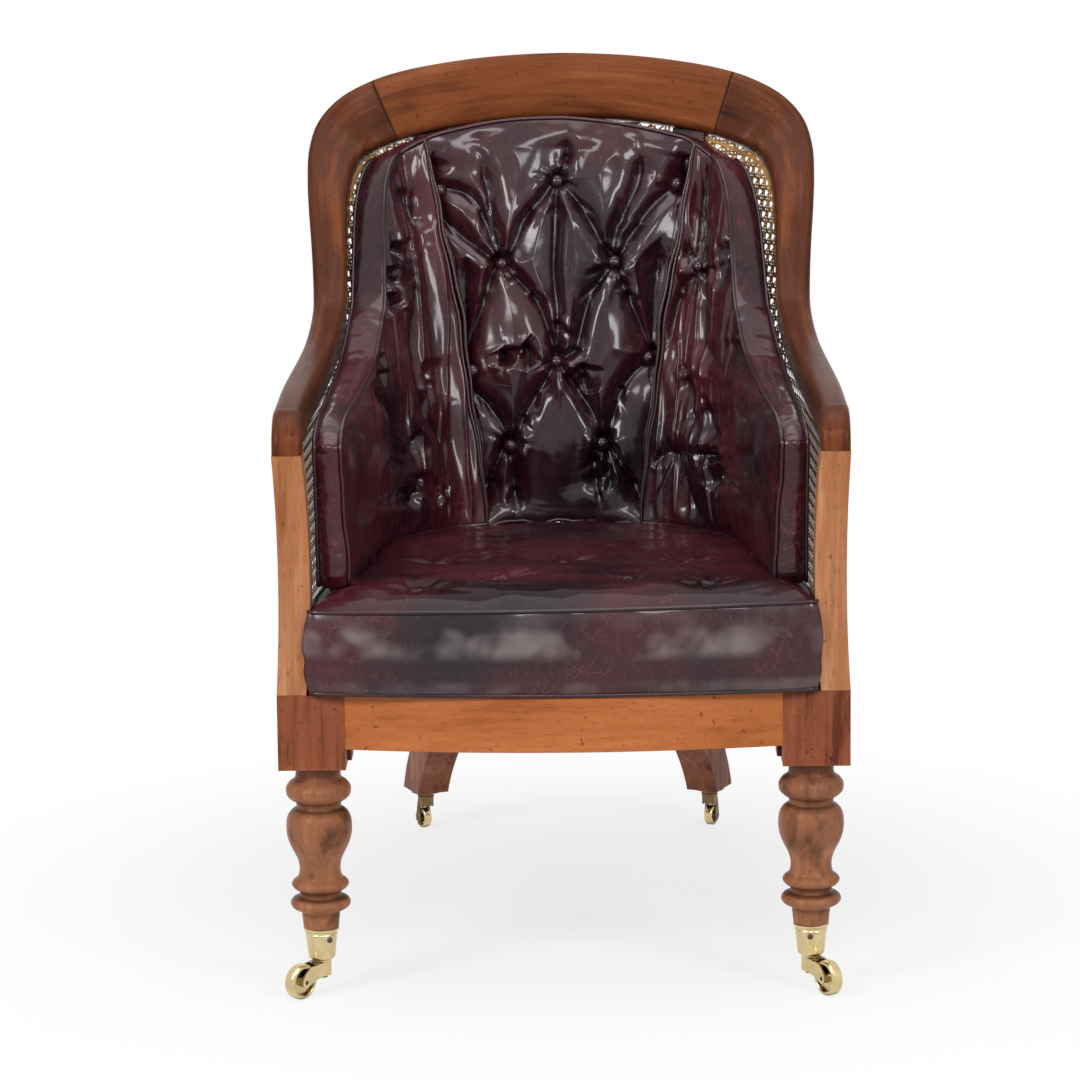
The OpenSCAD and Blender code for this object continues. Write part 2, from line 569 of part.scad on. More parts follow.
// Squabs. A column stands inside the cane; depth is measured in towards the sitter.
seat_in = arm_face_w + 3*rest_gap;
seat_in_back = cane_in + cane_t/2 + binding_t + 2*rest_gap;
function squab_in(a) = mix(seat_in, seat_in_back, ease((a - side_taper)/(leg_angle - side_taper)));
function squab_top_point(i) = at_rail(i, rail[i][3] + 3*rest_gap,
  mix(bend_r/4, cane_in - cane_t/2 - binding_t - 2*rest_gap, crested(i)));
function squab_foot(i) = let(f = foot(i, squab_in(foot_angle(i)))) [f[0], f[1], seat_h];
squab_tops = [for (i = [0:ring_n - 1]) squab_top_point(i)];
squab_feet = [for (i = [0:ring_n - 1]) squab_foot(i)];
function at_list(l, x) = let(i = min(floor(x), len(l) - 2)) mix(l[i], l[i + 1], x - i);
angles = [for (i = [0:ring_n - 1]) foot_angle(i)];
function squab_point(i, z, depth) =
  let(t = at_list(squab_tops, i), f = at_list(squab_feet, i), a = at_list(angles, i))
  let(p = mix(t, f, (t[2] - z)/(t[2] - f[2]))) [p[0] - depth*cos(a), p[1] - depth*sin(a), z];
function hump(u) = 1 - pow(2*u - 1, 4);
function dimple(d) = exp(-2*d*d/(tuft_spread*tuft_spread));
function pinch(points, p, spread_u, spread_v) =
  max([for (q = points) dimple(norm([(p[0] - q[0])*spread_u, (p[1] - q[1])*spread_v]))]);
// A pad over a grid: outer sheet, inner sheet and the boxing between them
function cell(a, b, c, d, wind) = wind ? [[a, b, c], [a, c, d]] : [[a, c, b], [a, d, c]];
function grid_faces(nu, nv, wind) = let(w = nv + 1, n = (nu + 1)*w) concat(
  [for (i = [0:nu - 1], j = [0:nv - 1], f = [0:1])
    let(a = i*w + j) cell(a, a + 1, a + w + 1, a + w, wind)[f]],
  [for (i = [0:nu - 1], j = [0:nv - 1], f = [0:1])
    let(a = n + i*w + j) cell(a, a + 1, a + w + 1, a + w, !wind)[f]],
  [for (i = [0:nu - 1], f = [0:1]) let(a = i*w) cell(a, a + w, n + a + w, n + a, wind)[f]],
  [for (i = [0:nu - 1], f = [0:1]) let(a = i*w + nv) cell(a, a + w, n + a + w, n + a, !wind)[f]],
  [for (j = [0:nv - 1], f = [0:1]) cell(j, j + 1, n + j + 1, n + j, !wind)[f]],
  [for (j = [0:nv - 1], f = [0:1]) let(a = nu*w + j) cell(a, a + 1, n + a + 1, n + a, wind)[f]]);
function seat_level(y) = squab_top + squab_crown - squab_fall*clamp(y/(arc_y + seat_r/2));
mitre_gap_share = 0.04;
mitre_ring = stile_ring - 1.2;
side_first = turn_steps + 0.3;
drawn_share = 0.02;
function drawn(u, v) = 0.5 + (u - 0.5)*(1 - drawn_share*(1 - pow(2*v - 1, 2)));
function hung(v, u) = v < 0.5 ? drawn(v, u) : v;

squab_rise = binding_t*5;
side_nu = 26;
side_nv = 13;
side_tuft_shares = [[0.45, 0.5], [0.66, 0.32], [0.66, 0.72], [0.86, 0.2], [0.86, 0.55], [0.2, 0.5]];
side_drop = arm_h - bend_r/4 - side_squab_h;
function side_top_z(i) = let(t = at_list(squab_tops, i))
  t[2] - mix(side_drop, 3*rest_gap, clamp((t[2] - arm_h)/arm_t));
function side_ring_at(u) = mix(side_first, mitre_ring - mitre_gap_share, u);
function side_depth(u, v) = mix(side_squab_t, back_squab_t, u*u) + side_crown*hump(u)*hump(v)
  - shallow_tuft_d*pinch(side_tuft_shares, [u, v], 0.75*crest_back, side_squab_h - squab_top);
function side_point(u, v, inner) =
  let(i = side_ring_at(drawn(u, v)), d = inner ? side_depth(u, v) : rest_gap)
  let(low = seat_level(squab_point(i, seat_level(0), d)[1]) + rest_gap)
  squab_point(i, mix(side_top_z(i) + (inner ? squab_rise*ease(3*u - 1) : 0), low, hung(v, u)), d);
// The stile's flat inner face presses a shallow seat into the squabs before it
module stile_room() in_leg_plane() rotate([90, 0, 90]) translate([0, 0, -leg_w/2 - rest_gap])
  linear_extrude(leg_w + 2*rest_gap) polygon([
    stile_in_low - [rest_gap, 0], stile_in_top - [rest_gap, 0],
    stile_in_top + [stile_top_d, 0], stile_in_low + [stile_top_d, 0]]);
module side_squab() difference() {
  polyhedron(
    concat([for (i = [0:side_nu], j = [0:side_nv]) side_point(i/side_nu, j/side_nv, false)],
      [for (i = [0:side_nu], j = [0:side_nv]) side_point(i/side_nu, j/side_nv, true)]),
    grid_faces(side_nu, side_nv, false), convexity = 8);
  stile_room();
}
module right_side_squab() color(leather_red) placed() side_squab();
module left_side_squab() color(leather_red) placed() mirrored(-1) side_squab();

back_nu = 24;
back_nv = 22;
back_tuft_shares = [[0.07, 0.136], [0.5, 0.136], [0.93, 0.136], [0.25, 0.355], [0.75, 0.355],
  [0.07, 0.595], [0.5, 0.595], [0.93, 0.595], [0.25, 0.82], [0.75, 0.82]];
back_w = 2*norm(xyz(rail[stile_ring]) - xyz(rail[ring_n - 1]));
back_h = crest_h - crest_face_w - squab_top;
function back_point(u, v, depth) = let(s = 2*drawn(u, v) - 1)
  let(i = mix(ring_n - 1, mitre_ring + mitre_gap_share, abs(s)), t = at_list(squab_tops, i))
  let(low = seat_level(squab_point(i, seat_level(arc_y), depth)[1]) + rest_gap)
  let(top = t[2] - 3*rest_gap + (depth > binding_t ? squab_rise : 0))
  let(w = squab_point(i, mix(top, low, hung(v, u)), depth)) [s < 0 ? -w[0] : w[0], w[1], w[2]];
function back_depth(u, v) = back_squab_t + back_crown*hump(u)*hump(v)
  - tuft_d*pinch(back_tuft_shares, [u, v], back_w, back_h);
module back_squab() color(leather_red) placed() difference() {
  polyhedron(
    concat([for (i = [0:back_nu], j = [0:back_nv]) back_point(i/back_nu, j/back_nv, rest_gap)],
      [for (i = [0:back_nu], j = [0:back_nv]) let(u = i/back_nu, v = j/back_nv)
        back_point(u, v, back_depth(u, v))]),
    grid_faces(back_nu, back_nv, true), convexity = 8);
  for (s = [-1, 1]) mirrored(s) stile_room();
}

// Seat squab: rings of its plan, from under the middle, up the boxing and in over the crown
seat_ring_n = 76;
seat_tuft_shares = [[0.25, 0.24], [-0.25, 0.24], [0, 0.44], [0.48, 0.44], [-0.48, 0.44],
  [0.25, 0.64], [-0.25, 0.64], [0.5, 0.08], [-0.5, 0.08], [0, 0.06]];
squab_edge_r = 9;
seat_front_y = front_y - squab_edge_r/2;
seat_side_x = half_w - support_w - 1.1*support_bow - 2*rest_gap;
seat_bulge_x = seat_side_x + support_bow/2;
// The lap's parts: front edge, bulge before the support, side, round back
lap_shares = [0.2, 0.23, 0.27, 0.58];
function lap_part(h, k) = (h - lap_shares[k - 1])/(lap_shares[k] - lap_shares[k - 1]);
function lap_side(h) = let(y = mix(front_y + 1.6*squab_edge_r, arc_y, lap_part(h, 3)))
  [min(seat_side_x, plan_x(y, seat_in)), y];
function lap_back(h) = let(k = (h - lap_shares[3])/(1 - lap_shares[3]), g = mix(side_taper, 90, k))
  plan_arc(squab_in(g), g);
function lap_front(k) = [seat_bulge_x*k - squab_edge_r/3*pow(k, 9),
  seat_front_y - (front_bow - squab_edge_r/2)*(1 - k*k) + squab_edge_r/4*pow(k, 9)];
function half_lap(h) = h < lap_shares[0] ? lap_front(h/lap_shares[0])
  : h < lap_shares[1] ? [seat_bulge_x, seat_front_y + squab_edge_r/4 + lap_part(h, 1)*squab_edge_r/4]
  : h < lap_shares[2] ? mix([seat_bulge_x, seat_front_y + squab_edge_r/2],
      [seat_side_x, front_y + 1.6*squab_edge_r], ease(lap_part(h, 2)))
  : h < lap_shares[3] ? lap_side(h) : lap_back(h);
function seat_lap(t) = let(s = t < 0.5 ? 1 : -1, p = half_lap(t < 0.5 ? 2*t : 2 - 2*t)) [s*p[0], p[1]];
// Inset rings close in on a middle point by equal shares of the way
function inset_share(t, d) = let(p = seat_lap(t)) clamp(1 - d/norm(p - [0, seat_r/2]));
function seat_plan(t, d) = let(p = seat_lap(t), c = [0, seat_r/2], k = inset_share(t, d)) mix(c, p, k);
squab_bottom = seat_h + rest_gap;
seat_span = 2.41*side_squab_t;
top_shares = [0.05, 0.14, 0.24, 0.45, 0.8, 1.15, 1.5, 1.9, 2.25];
seat_len = seat_r - seat_in_back + arc_y - seat_front_y;
function seat_z(p, d) = seat_level(p[1]) - squab_crown*(1 - clamp(d/(top_shares[2]*seat_span)))
  - shallow_tuft_d*ease(d/back_squab_t)
    *pinch(seat_tuft_shares, [p[0]/half_w, (p[1] - seat_front_y)/seat_len], half_w, seat_len);
// Each ring of the boxing: how far in, and the share of the way up
boxing_shares = [[0.70, 0], [0.26, 0], [0.05, 0], [0.01, 0.12], [0, 0.5], [0.01, 0.88]];

seat_rings = concat(
  [for (b = boxing_shares) [for (j = [0:seat_ring_n - 1])
    let(p = seat_plan(j/seat_ring_n, b[0]*seat_span)) [p[0], p[1], mix(squab_bottom, seat_z(p, 0), b[1])]]],
  [for (b = top_shares) [for (j = [0:seat_ring_n - 1])
    let(p = seat_plan(j/seat_ring_n, b*seat_span)) [p[0], p[1], seat_z(p, b*seat_span)]]]);
module seat_squab() color(leather_red) placed() sweep(seat_rings, false);

button_h = 5;
function back_button(q) = let(d = back_depth(q[0], q[1]), p = back_point(q[0], q[1], d + cut),
  o = back_point(q[0], q[1], d - button_h)) [p, unit(p - o)];
module button(p, n) translate(p) rotate([0, acos(n[2]), atan2(n[1], n[0])]) difference() {
  scale([1, 1, button_h/button_r]) sphere(r = button_r, $fn = 32);
  translate([-button_r, -button_r, -2*button_r - cut]) cube(2*button_r);
}
module squab_buttons() color(leather_red) placed() {
  for (q = back_tuft_shares) button(back_button(q)[0], back_button(q)[1]);
}

// Front castors, about the pivot's axis with the wheel trailing along +X
cup_wall = 1.8;
cup_floor = 5;
lip_z = cup_top - cup_wall;
horn_half = wheel_w/2 + side_clear + cheek_t;
function cup_out(z) = mix(toe_end_r + cup_wall, toe_r + cup_wall/2, (z - cup_low)/(cup_top - cup_low));
module front_cup(screw_turn) difference() {
  union() {
    rotate_extrude($fn = 72) polygon(concat(
      [[0, cup_low], [toe_end_r - cup_wall, cup_low]],
      [for (a = [-60:20:0])
        [cup_out(cup_low + 2*cup_wall) - 2*cup_wall*(1 - cos(a)), cup_low + 2*cup_wall*(1 + sin(a))]],
      [[cup_out(lip_z - 4*cup_wall), lip_z - 4*cup_wall],
       [cup_out(lip_z - 3.6*cup_wall) + cup_wall/4, lip_z - 3.6*cup_wall],
       [cup_out(lip_z - 3*cup_wall) + cup_wall/4, lip_z - 3*cup_wall],
       [cup_out(lip_z - 2.6*cup_wall), lip_z - 2.6*cup_wall],
       [cup_out(lip_z - cup_wall), lip_z - cup_wall]],
      [for (a = [-90:30:90]) [cup_lip_r - cup_wall*(1 - cos(a)), lip_z + cup_wall*sin(a)]],
      [[toe_r + rest_gap/2, cup_top], [toe_end_r + rest_gap/2, toe_low],
       [toe_end_r, cup_low + cup_floor], [0, cup_low + cup_floor]]));
  }
  translate([0, 0, cup_low - cut]) cylinder(h = cup_floor + 2*cut, r = pivot_r, $fn = 48);
  rotate(screw_turn) cup_screw_hole();
}
module cup_screw() translate([0, 0, cup_screw_z]) rotate([0, 90, 0]) {
  translate([0, 0, toe_r/2])
    cylinder(h = cup_out(cup_screw_z + screw_head_r) + screw_r/2 - toe_r/2, r = screw_r, $fn = 24);
  translate([0, 0, cup_out(cup_screw_z + screw_head_r)])
    cylinder(h = screw_r/1.5, r1 = screw_head_r, r2 = screw_head_r/1.6, $fn = 24);
}
washer_r = 6;
module front_pivot() {
  translate([0, 0, horn_low - side_clear - cut])
    cylinder(h = cup_low + cup_floor + 2*cut - horn_low + side_clear, r = pivot_r, $fn = 48);
  translate([0, 0, cup_low + cup_floor]) cylinder(h = 2*cut, r = washer_r, $fn = 32);
  translate([0, 0, horn_low - side_clear - 2.5*cut]) cylinder(h = 2.5*cut, r = washer_r, $fn = 32);
}
cheek_end_r = 5.6;
horn_back = 4.6;
collar_r = 10.6;
curve_steps = 10;
function cheek_outline(top, low, x0, x1, ax, az, r) = concat(
  [[x0, low], [x0, top], [x1, top]],
  [for (i = [1:curve_steps]) bezier([x1, top], [mix(x1, ax, 0.55), top],
    [ax + r*0.35, top - r*0.35], [ax + r*cos(28), az + r*sin(28)], i/curve_steps)],
  [for (a = [14:-14:-98]) [ax + r*cos(a), az + r*sin(a)]],
  [for (i = [1:curve_steps]) bezier([ax + r*cos(-112), az + r*sin(-112)],
    [ax - 1.6*r, az - 0.5*r], [mix(x1, ax, 0.35), low], [x1, low], i/curve_steps)]);
module cheeks(outline, half, t, ax, az, hole_r) for (s = [-1, 1])
  translate([0, s > 0 ? half : -half + t, 0]) rotate([90, 0, 0]) linear_extrude(t) difference() {
    polygon(outline);
    translate([ax, az]) circle(r = hole_r, $fn = 32);
  }
module front_horn() difference() {
  union() {
    cheeks(
      cheek_outline(horn_top, horn_low, -horn_back, horn_back + axle_r, trail, wheel_r, cheek_end_r),
      horn_half, cheek_t, trail, wheel_r, axle_r);
    translate([-horn_back, -horn_half, horn_low])
      cube([2*horn_back + axle_r, 2*horn_half, horn_top - horn_low]);
    translate([horn_back, -horn_half, horn_top - cheek_t]) cube([cup_wall*5, 2*horn_half, cheek_t]);
    translate([0, 0, horn_top]) cylinder(h = cup_low - side_clear - horn_top, r = collar_r, $fn = 48);
  }
  translate([0, 0, horn_low - cut])
    cylinder(h = cup_low - horn_low + 2*cut, r = pivot_r + run_clear, $fn = 48);
}
module castor_axle(x, z, half) translate([x, half, z]) rotate([90, 0, 0])
  cylinder(h = 2*half, r = axle_r, $fn = 32);
function wheel_outline(r, w) = let(e = w/3, rim = 0.76*r, hub = 2*axle_r) concat(
  [[axle_r + run_clear, -w/2], [hub, -w/2], [hub + w/16, -w/5], [rim - w/8, -w/6],
   [rim, -w/2 + w/16], [rim + w/16, -w/2]],
  [for (a = [-90:15:90]) [r - e*0.8 + e*0.8*cos(a), (w/2 - e*0.8)*sign(a) + e*0.8*sin(a)]],
  [[rim + w/16, w/2], [rim, w/2 - w/16], [rim - w/8, w/6],
   [hub + w/16, w/5], [hub, w/2], [axle_r + run_clear, w/2]]);
module castor_wheel(x, r, w) translate([x, 0, r]) rotate([90, 0, 0]) rotate_extrude($fn = 72)
  polygon(wheel_outline(r, w));
module at_front(s, heading) placed() translate([s*leg_x, 0, 0]) rotate(heading) children();
module left_front_cup() color(brass_gold) at_front(-1, 0) front_cup(left_screw_turn);
module right_front_cup() color(brass_gold) at_front(1, 0) front_cup(right_screw_turn);
module cup_screws() color(bronze_dark) {
  at_front(-1, left_screw_turn) cup_screw();
  at_front(1, right_screw_turn) cup_screw();
}
module left_front_pivot() color(bronze_dark) at_front(-1, 0) front_pivot();
module right_front_pivot() color(bronze_dark) at_front(1, 0) front_pivot();
module left_front_horn() color(brass_gold) at_front(-1, left_front_heading) front_horn();
module right_front_horn() color(brass_gold) at_front(1, right_front_heading) front_horn();
module left_front_axle() color(bronze_dark) at_front(-1, left_front_heading)
  castor_axle(trail, wheel_r, horn_half);
module right_front_axle() color(bronze_dark) at_front(1, right_front_heading)
  castor_axle(trail, wheel_r, horn_half);
module left_front_wheel() color(brass_gold) at_front(-1, left_front_heading)
  castor_wheel(trail, wheel_r, wheel_w);
module right_front_wheel() color(brass_gold) at_front(1, right_front_heading)
  castor_wheel(trail, wheel_r, wheel_w);

// Rear castors
rear_pivot_r = 3.5;
rear_head_r = 5.5;
rear_half = rear_wheel_w/2 + side_clear + cheek_t;
rear_end_r = 5.5;
rear_back = 5;
rivet_t = 1.4;
fork_top = boss_low - side_clear;
module rear_plate() difference() {
  union() {
    translate([0, 0, leg_low - plate_t]) cylinder(h = plate_t, r = plate_w/2, $fn = 64);
    translate([0, 0, boss_low]) cylinder(h = 2*rivet_t, r = boss_r, $fn = 48);
    translate([0, 0, boss_low])
      cylinder(h = leg_low - plate_t - boss_low + cut, r = boss_r - rivet_t, $fn = 48);
    translate([0, 0, leg_low - plate_t - rivet_t])
      cylinder(h = rivet_t + cut, r = boss_r + rivet_t/4, $fn = 48);
  }
  rotate(-leg_turn) plate_screws_at(false);
  translate([0, 0, boss_low - cut])
    cylinder(h = leg_low - boss_low + 2*cut, r = rear_pivot_r, $fn = 48);
}
module rear_pivot() {
  translate([0, 0, crown_low + side_clear]) {
    cylinder(h = leg_low - crown_low - side_clear, r = rear_pivot_r, $fn = 48);
    cylinder(h = rivet_t, r = rear_head_r, $fn = 32);
  }
}
module rear_fork() difference() {
  union() {
    cheeks(
      cheek_outline(fork_top, crown_low - rivet_t, -rear_back, rear_back,
        rear_trail, rear_wheel_r, rear_end_r),
      rear_half, cheek_t, rear_trail, rear_wheel_r, axle_r);
    translate([-rear_back, -rear_half, crown_low]) cube([2*rear_back, 2*rear_half, fork_top - crown_low]);
    translate([0, 0, crown_low]) cylinder(h = fork_top - crown_low, r = rear_half, $fn = 48);
  }
  translate([0, 0, crown_low - cut]) {
    cylinder(h = fork_top - crown_low + 2*cut, r = rear_pivot_r + run_clear, $fn = 48);
    cylinder(h = cut + rivet_t + 2*side_clear, r = rear_head_r + side_clear, $fn = 48);
  }
}
module at_rear(s, heading) placed() translate([s*foot_x, foot_y, 0]) rotate(heading) children();
module right_rear_plate() color(bronze_dark) at_rear(1, 0) rear_plate();
module left_rear_plate() color(bronze_dark) placed() mirrored(-1) translate([foot_x, foot_y, 0])
  rear_plate();
module plate_screws() color(bronze_dark) placed() for (s = [-1, 1]) mirrored(s) at_foot()
  plate_screws_at(true);
module left_rear_pivot() color(bronze_dark) at_rear(-1, 0) rear_pivot();
module right_rear_pivot() color(bronze_dark) at_rear(1, 0) rear_pivot();
module left_rear_fork() color(bronze_dark) at_rear(-1, left_rear_heading) rear_fork();
module right_rear_fork() color(bronze_dark) at_rear(1, right_rear_heading) rear_fork();
module left_rear_axle() color(bronze_dark) at_rear(-1, left_rear_heading)
  castor_axle(rear_trail, rear_wheel_r, rear_half);
module right_rear_axle() color(bronze_dark) at_rear(1, right_rear_heading)
  castor_axle(rear_trail, rear_wheel_r, rear_half);
module left_rear_wheel() color(brass_gold) at_rear(-1, left_rear_heading)
  castor_wheel(rear_trail, rear_wheel_r, rear_wheel_w);
module right_rear_wheel() color(brass_gold) at_rear(1, right_rear_heading)
  castor_wheel(rear_trail, rear_wheel_r, rear_wheel_w);

crest_rail();
left_arm_rail();
right_arm_rail();
left_arm_support();
right_arm_support();
left_front_leg();
right_front_leg();
front_seat_rail();
left_seat_rail();
right_seat_rail();
rear_seat_rail();
left_rear_leg();
right_rear_leg();
corner_blocks();
corner_block_screws();
frame_dowels();
back_cane();
left_side_cane();
right_side_cane();
seat_cane();
cane_bindings();
seat_squab();
back_squab();
left_side_squab();
right_side_squab();
squab_buttons();
left_front_cup();
right_front_cup();
cup_screws();
left_front_pivot();
right_front_pivot();
left_front_horn();
right_front_horn();
left_front_axle();
right_front_axle();
left_front_wheel();
right_front_wheel();
left_rear_plate();
right_rear_plate();
plate_screws();
left_rear_pivot();
right_rear_pivot();
left_rear_fork();
right_rear_fork();
left_rear_axle();
right_rear_axle();
left_rear_wheel();
right_rear_wheel();
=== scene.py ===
"""Caned library armchair with loose leather squabs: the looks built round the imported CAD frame."""

import math
import random

import bpy
import numpy as np
from mathutils import Matrix, Vector

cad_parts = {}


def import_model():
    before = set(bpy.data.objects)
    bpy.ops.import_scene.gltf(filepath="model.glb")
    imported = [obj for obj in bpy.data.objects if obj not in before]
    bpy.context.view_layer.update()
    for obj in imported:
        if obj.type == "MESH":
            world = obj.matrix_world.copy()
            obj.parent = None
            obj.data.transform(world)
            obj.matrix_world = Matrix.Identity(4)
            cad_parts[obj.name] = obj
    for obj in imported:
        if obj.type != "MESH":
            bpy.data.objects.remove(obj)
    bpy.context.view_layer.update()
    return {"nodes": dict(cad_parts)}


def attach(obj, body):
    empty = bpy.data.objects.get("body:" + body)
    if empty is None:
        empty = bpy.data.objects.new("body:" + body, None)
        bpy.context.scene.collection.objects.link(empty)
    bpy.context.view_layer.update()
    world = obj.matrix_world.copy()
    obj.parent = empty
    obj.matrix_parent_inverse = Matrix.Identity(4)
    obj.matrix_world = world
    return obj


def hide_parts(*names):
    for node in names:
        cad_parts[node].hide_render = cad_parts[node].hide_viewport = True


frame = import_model()
nodes = frame["nodes"]

# Sizes in millimetres, the same as the CAD's; angles in degrees
HALF_W, CREST_H, ARM_H, SEAT_H, CREST_BACK = 309.0, 984.0, 648.0, 342.0, 660.0
ORIGIN_BACK = 341.1
ARM_FACE_W, CREST_FACE_W, ARM_T, CREST_T = 32.0, 79.0, 38.0, 38.0
ARM_JOINT_H, FACE_R, BACK_R, LEAN = 603.0, 7.0, 6.0, 10.0
SEAT_R, ARC_Y, TAPER = 282.0, 298.0, 4.4
LEG_TURN, LEG_W = 23.5, 41.0
CANE_T, CANE_IN, BINDING_T = 2.0, 20.0, 1.6
SQUAB_TOP, SQUAB_CROWN, SQUAB_FALL = 437.0, 19.0, 24.0
SIDE_T, BACK_T, SIDE_CROWN, BACK_CROWN = 40.0, 56.0, 14.0, 26.0
SIDE_SQUAB_H, REST_GAP, SIDE_CLEAR = 620.0, 0.5, 0.4
BLOCK_W = 73.0
FRONT_BOW, SUPPORT_W, SUPPORT_BOW = 24.0, 32.0, 6.0
ARM_BACK = 0.2
BEND_R = ARM_H - ARM_JOINT_H
FRONT_Y = -BLOCK_W / 2
SUPPORT_FRONT = FRONT_Y + SIDE_CLEAR
TURN_STEPS = 6                      # stations along the arm's turned-down end
LEFT_JOINT, RIGHT_JOINT = 22, 22.5  # the crest's joints, in stations
# The rail after the turned end: shares of half_w, crest_back, height and face width
RAIL_SHARES = [
    (0.997, 0.050, 0.009, 0.01), (0.993, 0.155, 0.027, 0.04), (0.985, 0.289, 0.039, 0.05),
    (0.975, 0.432, 0.051, 0.055), (0.965, 0.540, 0.071, 0.06), (0.955, 0.610, 0.107, 0.075),
    (0.950, 0.664, 0.146, 0.10), (0.949, 0.700, 0.190, 0.14), (0.955, 0.740, 0.286, 0.19),
    (0.965, 0.778, 0.384, 0.24), (0.977, 0.814, 0.485, 0.31), (0.985, 0.856, 0.583, 0.42),
    (0.981, 0.897, 0.682, 0.64), (0.945, 0.931, 0.775, 0.84), (0.862, 0.956, 0.853, 0.95),
    (0.740, 0.972, 0.910, 1.00), (0.615, 0.983, 0.944, 1.01), (0.470, 0.991, 0.968, 1.00),
    (0.315, 0.996, 0.986, 0.99), (0.157, 0.999, 0.996, 0.99), (0.000, 1.000, 1.000, 1.00),
]


# ---- small helpers

def mix(a, b, t):
    return a + (b - a) * t


def ease(t):
    t = np.clip(t, 0, 1)
    return t * t * (3 - 2 * t)


def unit(v):
    return v / np.linalg.norm(v)


def units(rows):
    """Each row brought to length 1."""
    return rows / (np.linalg.norm(rows, axis=-1)[..., None] + 1e-9)


def spline(a, b, c, d, t):
    """A smooth curve from b to c, with a and d as their neighbours."""
    return (2 * b + (c - a) * t + (2 * a - 5 * b + 4 * c - d) * t * t
            + (3 * b - a - 3 * c + d) * t ** 3) / 2


def lengths(line):
    """How far along a line of points each point is."""
    return np.concatenate(([0], np.cumsum(np.linalg.norm(np.diff(line, axis=0), axis=1))))


def world(points):
    """Points in millimetres behind the front legs' axes, to metres in the shared frame."""
    p = np.array(points, float).reshape(-1, 3)
    return (p - (0, ORIGIN_BACK, 0)) * 0.001


def linked(name, data):
    obj = bpy.data.objects.new(name, data)
    bpy.context.scene.collection.objects.link(obj)
    return obj


def mesh_object(name, verts, faces, material, smooth=True, replaced=None):
    """A piece on the fixed frame, from points in millimetres, that stands for a CAD node if replaced."""
    mesh = bpy.data.meshes.new(name)
    mesh.from_pydata([tuple(v) for v in world(verts)], [], faces)
    mesh.validate()
    mesh.polygons.foreach_set("use_smooth", [smooth] * len(mesh.polygons))
    mesh.materials.append(material)
    obj = linked(name, mesh)
    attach(obj, "frame")
    if replaced:
        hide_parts(replaced)
    return obj


def grid_faces(nu, nv, flip=False, closed_v=False, start=0):
    """Quads of a grid of nu by nv points, row by row."""
    faces = []
    for i in range(nu - 1):
        for j in range(nv if closed_v else nv - 1):
            k = (j + 1) % nv
            q = (i * nv + j, i * nv + k, (i + 1) * nv + k, (i + 1) * nv + j)
            faces.append(tuple(start + x for x in (q[::-1] if flip else q)))
    return faces


def point_attribute(obj, name, values):
    """A number, or three of them, stored at each of a mesh's points for its material."""
    values = np.array(values, np.float32)
    kind, field = ("FLOAT", "value") if values.ndim == 1 else ("FLOAT_VECTOR", "vector")
    obj.data.attributes.new(name, kind, "POINT").data.foreach_set(field, values.ravel())


# ---- the upper rail's curve

def turned_end(s):
    """The rail's point and face width on the turned-down end of the arm."""
    a = math.radians(90 * s / TURN_STEPS)
    return np.array((HALF_W, SUPPORT_FRONT + BEND_R * (1 - math.cos(a)),
                     ARM_JOINT_H + BEND_R * math.sin(a), ARM_FACE_W))


STATIONS = np.array([turned_end(i) for i in range(TURN_STEPS + 1)]
                    + [(HALF_W * x, CREST_BACK * y, mix(ARM_H, CREST_H, z), mix(ARM_FACE_W, CREST_FACE_W, w))
                       for x, y, z, w in RAIL_SHARES])
S_END = len(STATIONS) - 1


def station(i):
    if i <= S_END:
        return STATIONS[i]
    return STATIONS[2 * S_END - i] * (-1, 1, 1, 1)


def rail_at(s):
    """A point of the rail's outer top edge and the face's width there; s counts stations."""
    if s < TURN_STEPS:
        return turned_end(s)
    i = min(int(s), S_END - 1)
    return spline(*(station(i + k) for k in (-1, 0, 1, 2)), s - i)


def rail_frame(s):
    """Point, along, across, behind, face width, thickness and crest share at s."""
    p = rail_at(s)
    ahead = rail_at(s + 0.5) if s + 0.5 <= S_END else rail_at(2 * S_END - s - 0.5) * (-1, 1, 1, 1)
    along = unit((ahead - rail_at(max(s - 0.5, 0)))[:3])
    if s <= 0:
        along = np.array((0, 0, 1.0))
    if s >= S_END:
        along = np.array((-1.0, 0, 0))
    crested = ease(((p[2] - ARM_H) / (CREST_H - ARM_H) - 0.12) / 0.5)
    back = mix(np.array((0, ARM_BACK, -1.0)), np.array((0, 1.0, -math.tan(math.radians(LEAN)))), crested)
    behind = unit(back - along * np.dot(back, along))
    across = np.cross(along, behind)
    return p[:3], along, across, behind, p[3], mix(ARM_T, CREST_T, crested), crested


CORNER_STEPS = 6


def corner(a, c, r, start):
    """A quarter circle of radius r round (a, c), from the start angle."""
    turns = [math.radians(start + 90 * j / CORNER_STEPS) for j in range(CORNER_STEPS + 1)]
    return [(a + r * math.cos(t), c + r * math.sin(t)) for t in turns]


def rail_section(w, t, crested):
    """The rail's rounded section, as (across, behind) points."""
    inner_r = mix(FACE_R, 9.0, crested)
    return (corner(FACE_R, FACE_R, FACE_R, 180) + corner(w - inner_r, inner_r, inner_r, 270)
            + corner(w - BACK_R, t - BACK_R, BACK_R, 0) + corner(BACK_R, t - BACK_R, BACK_R, 90))


FINE_STEPS = 12  # fine frames to a station
FINE = np.linspace(0, S_END, S_END * FINE_STEPS + 1)
FRAMES = [rail_frame(s) for s in FINE]


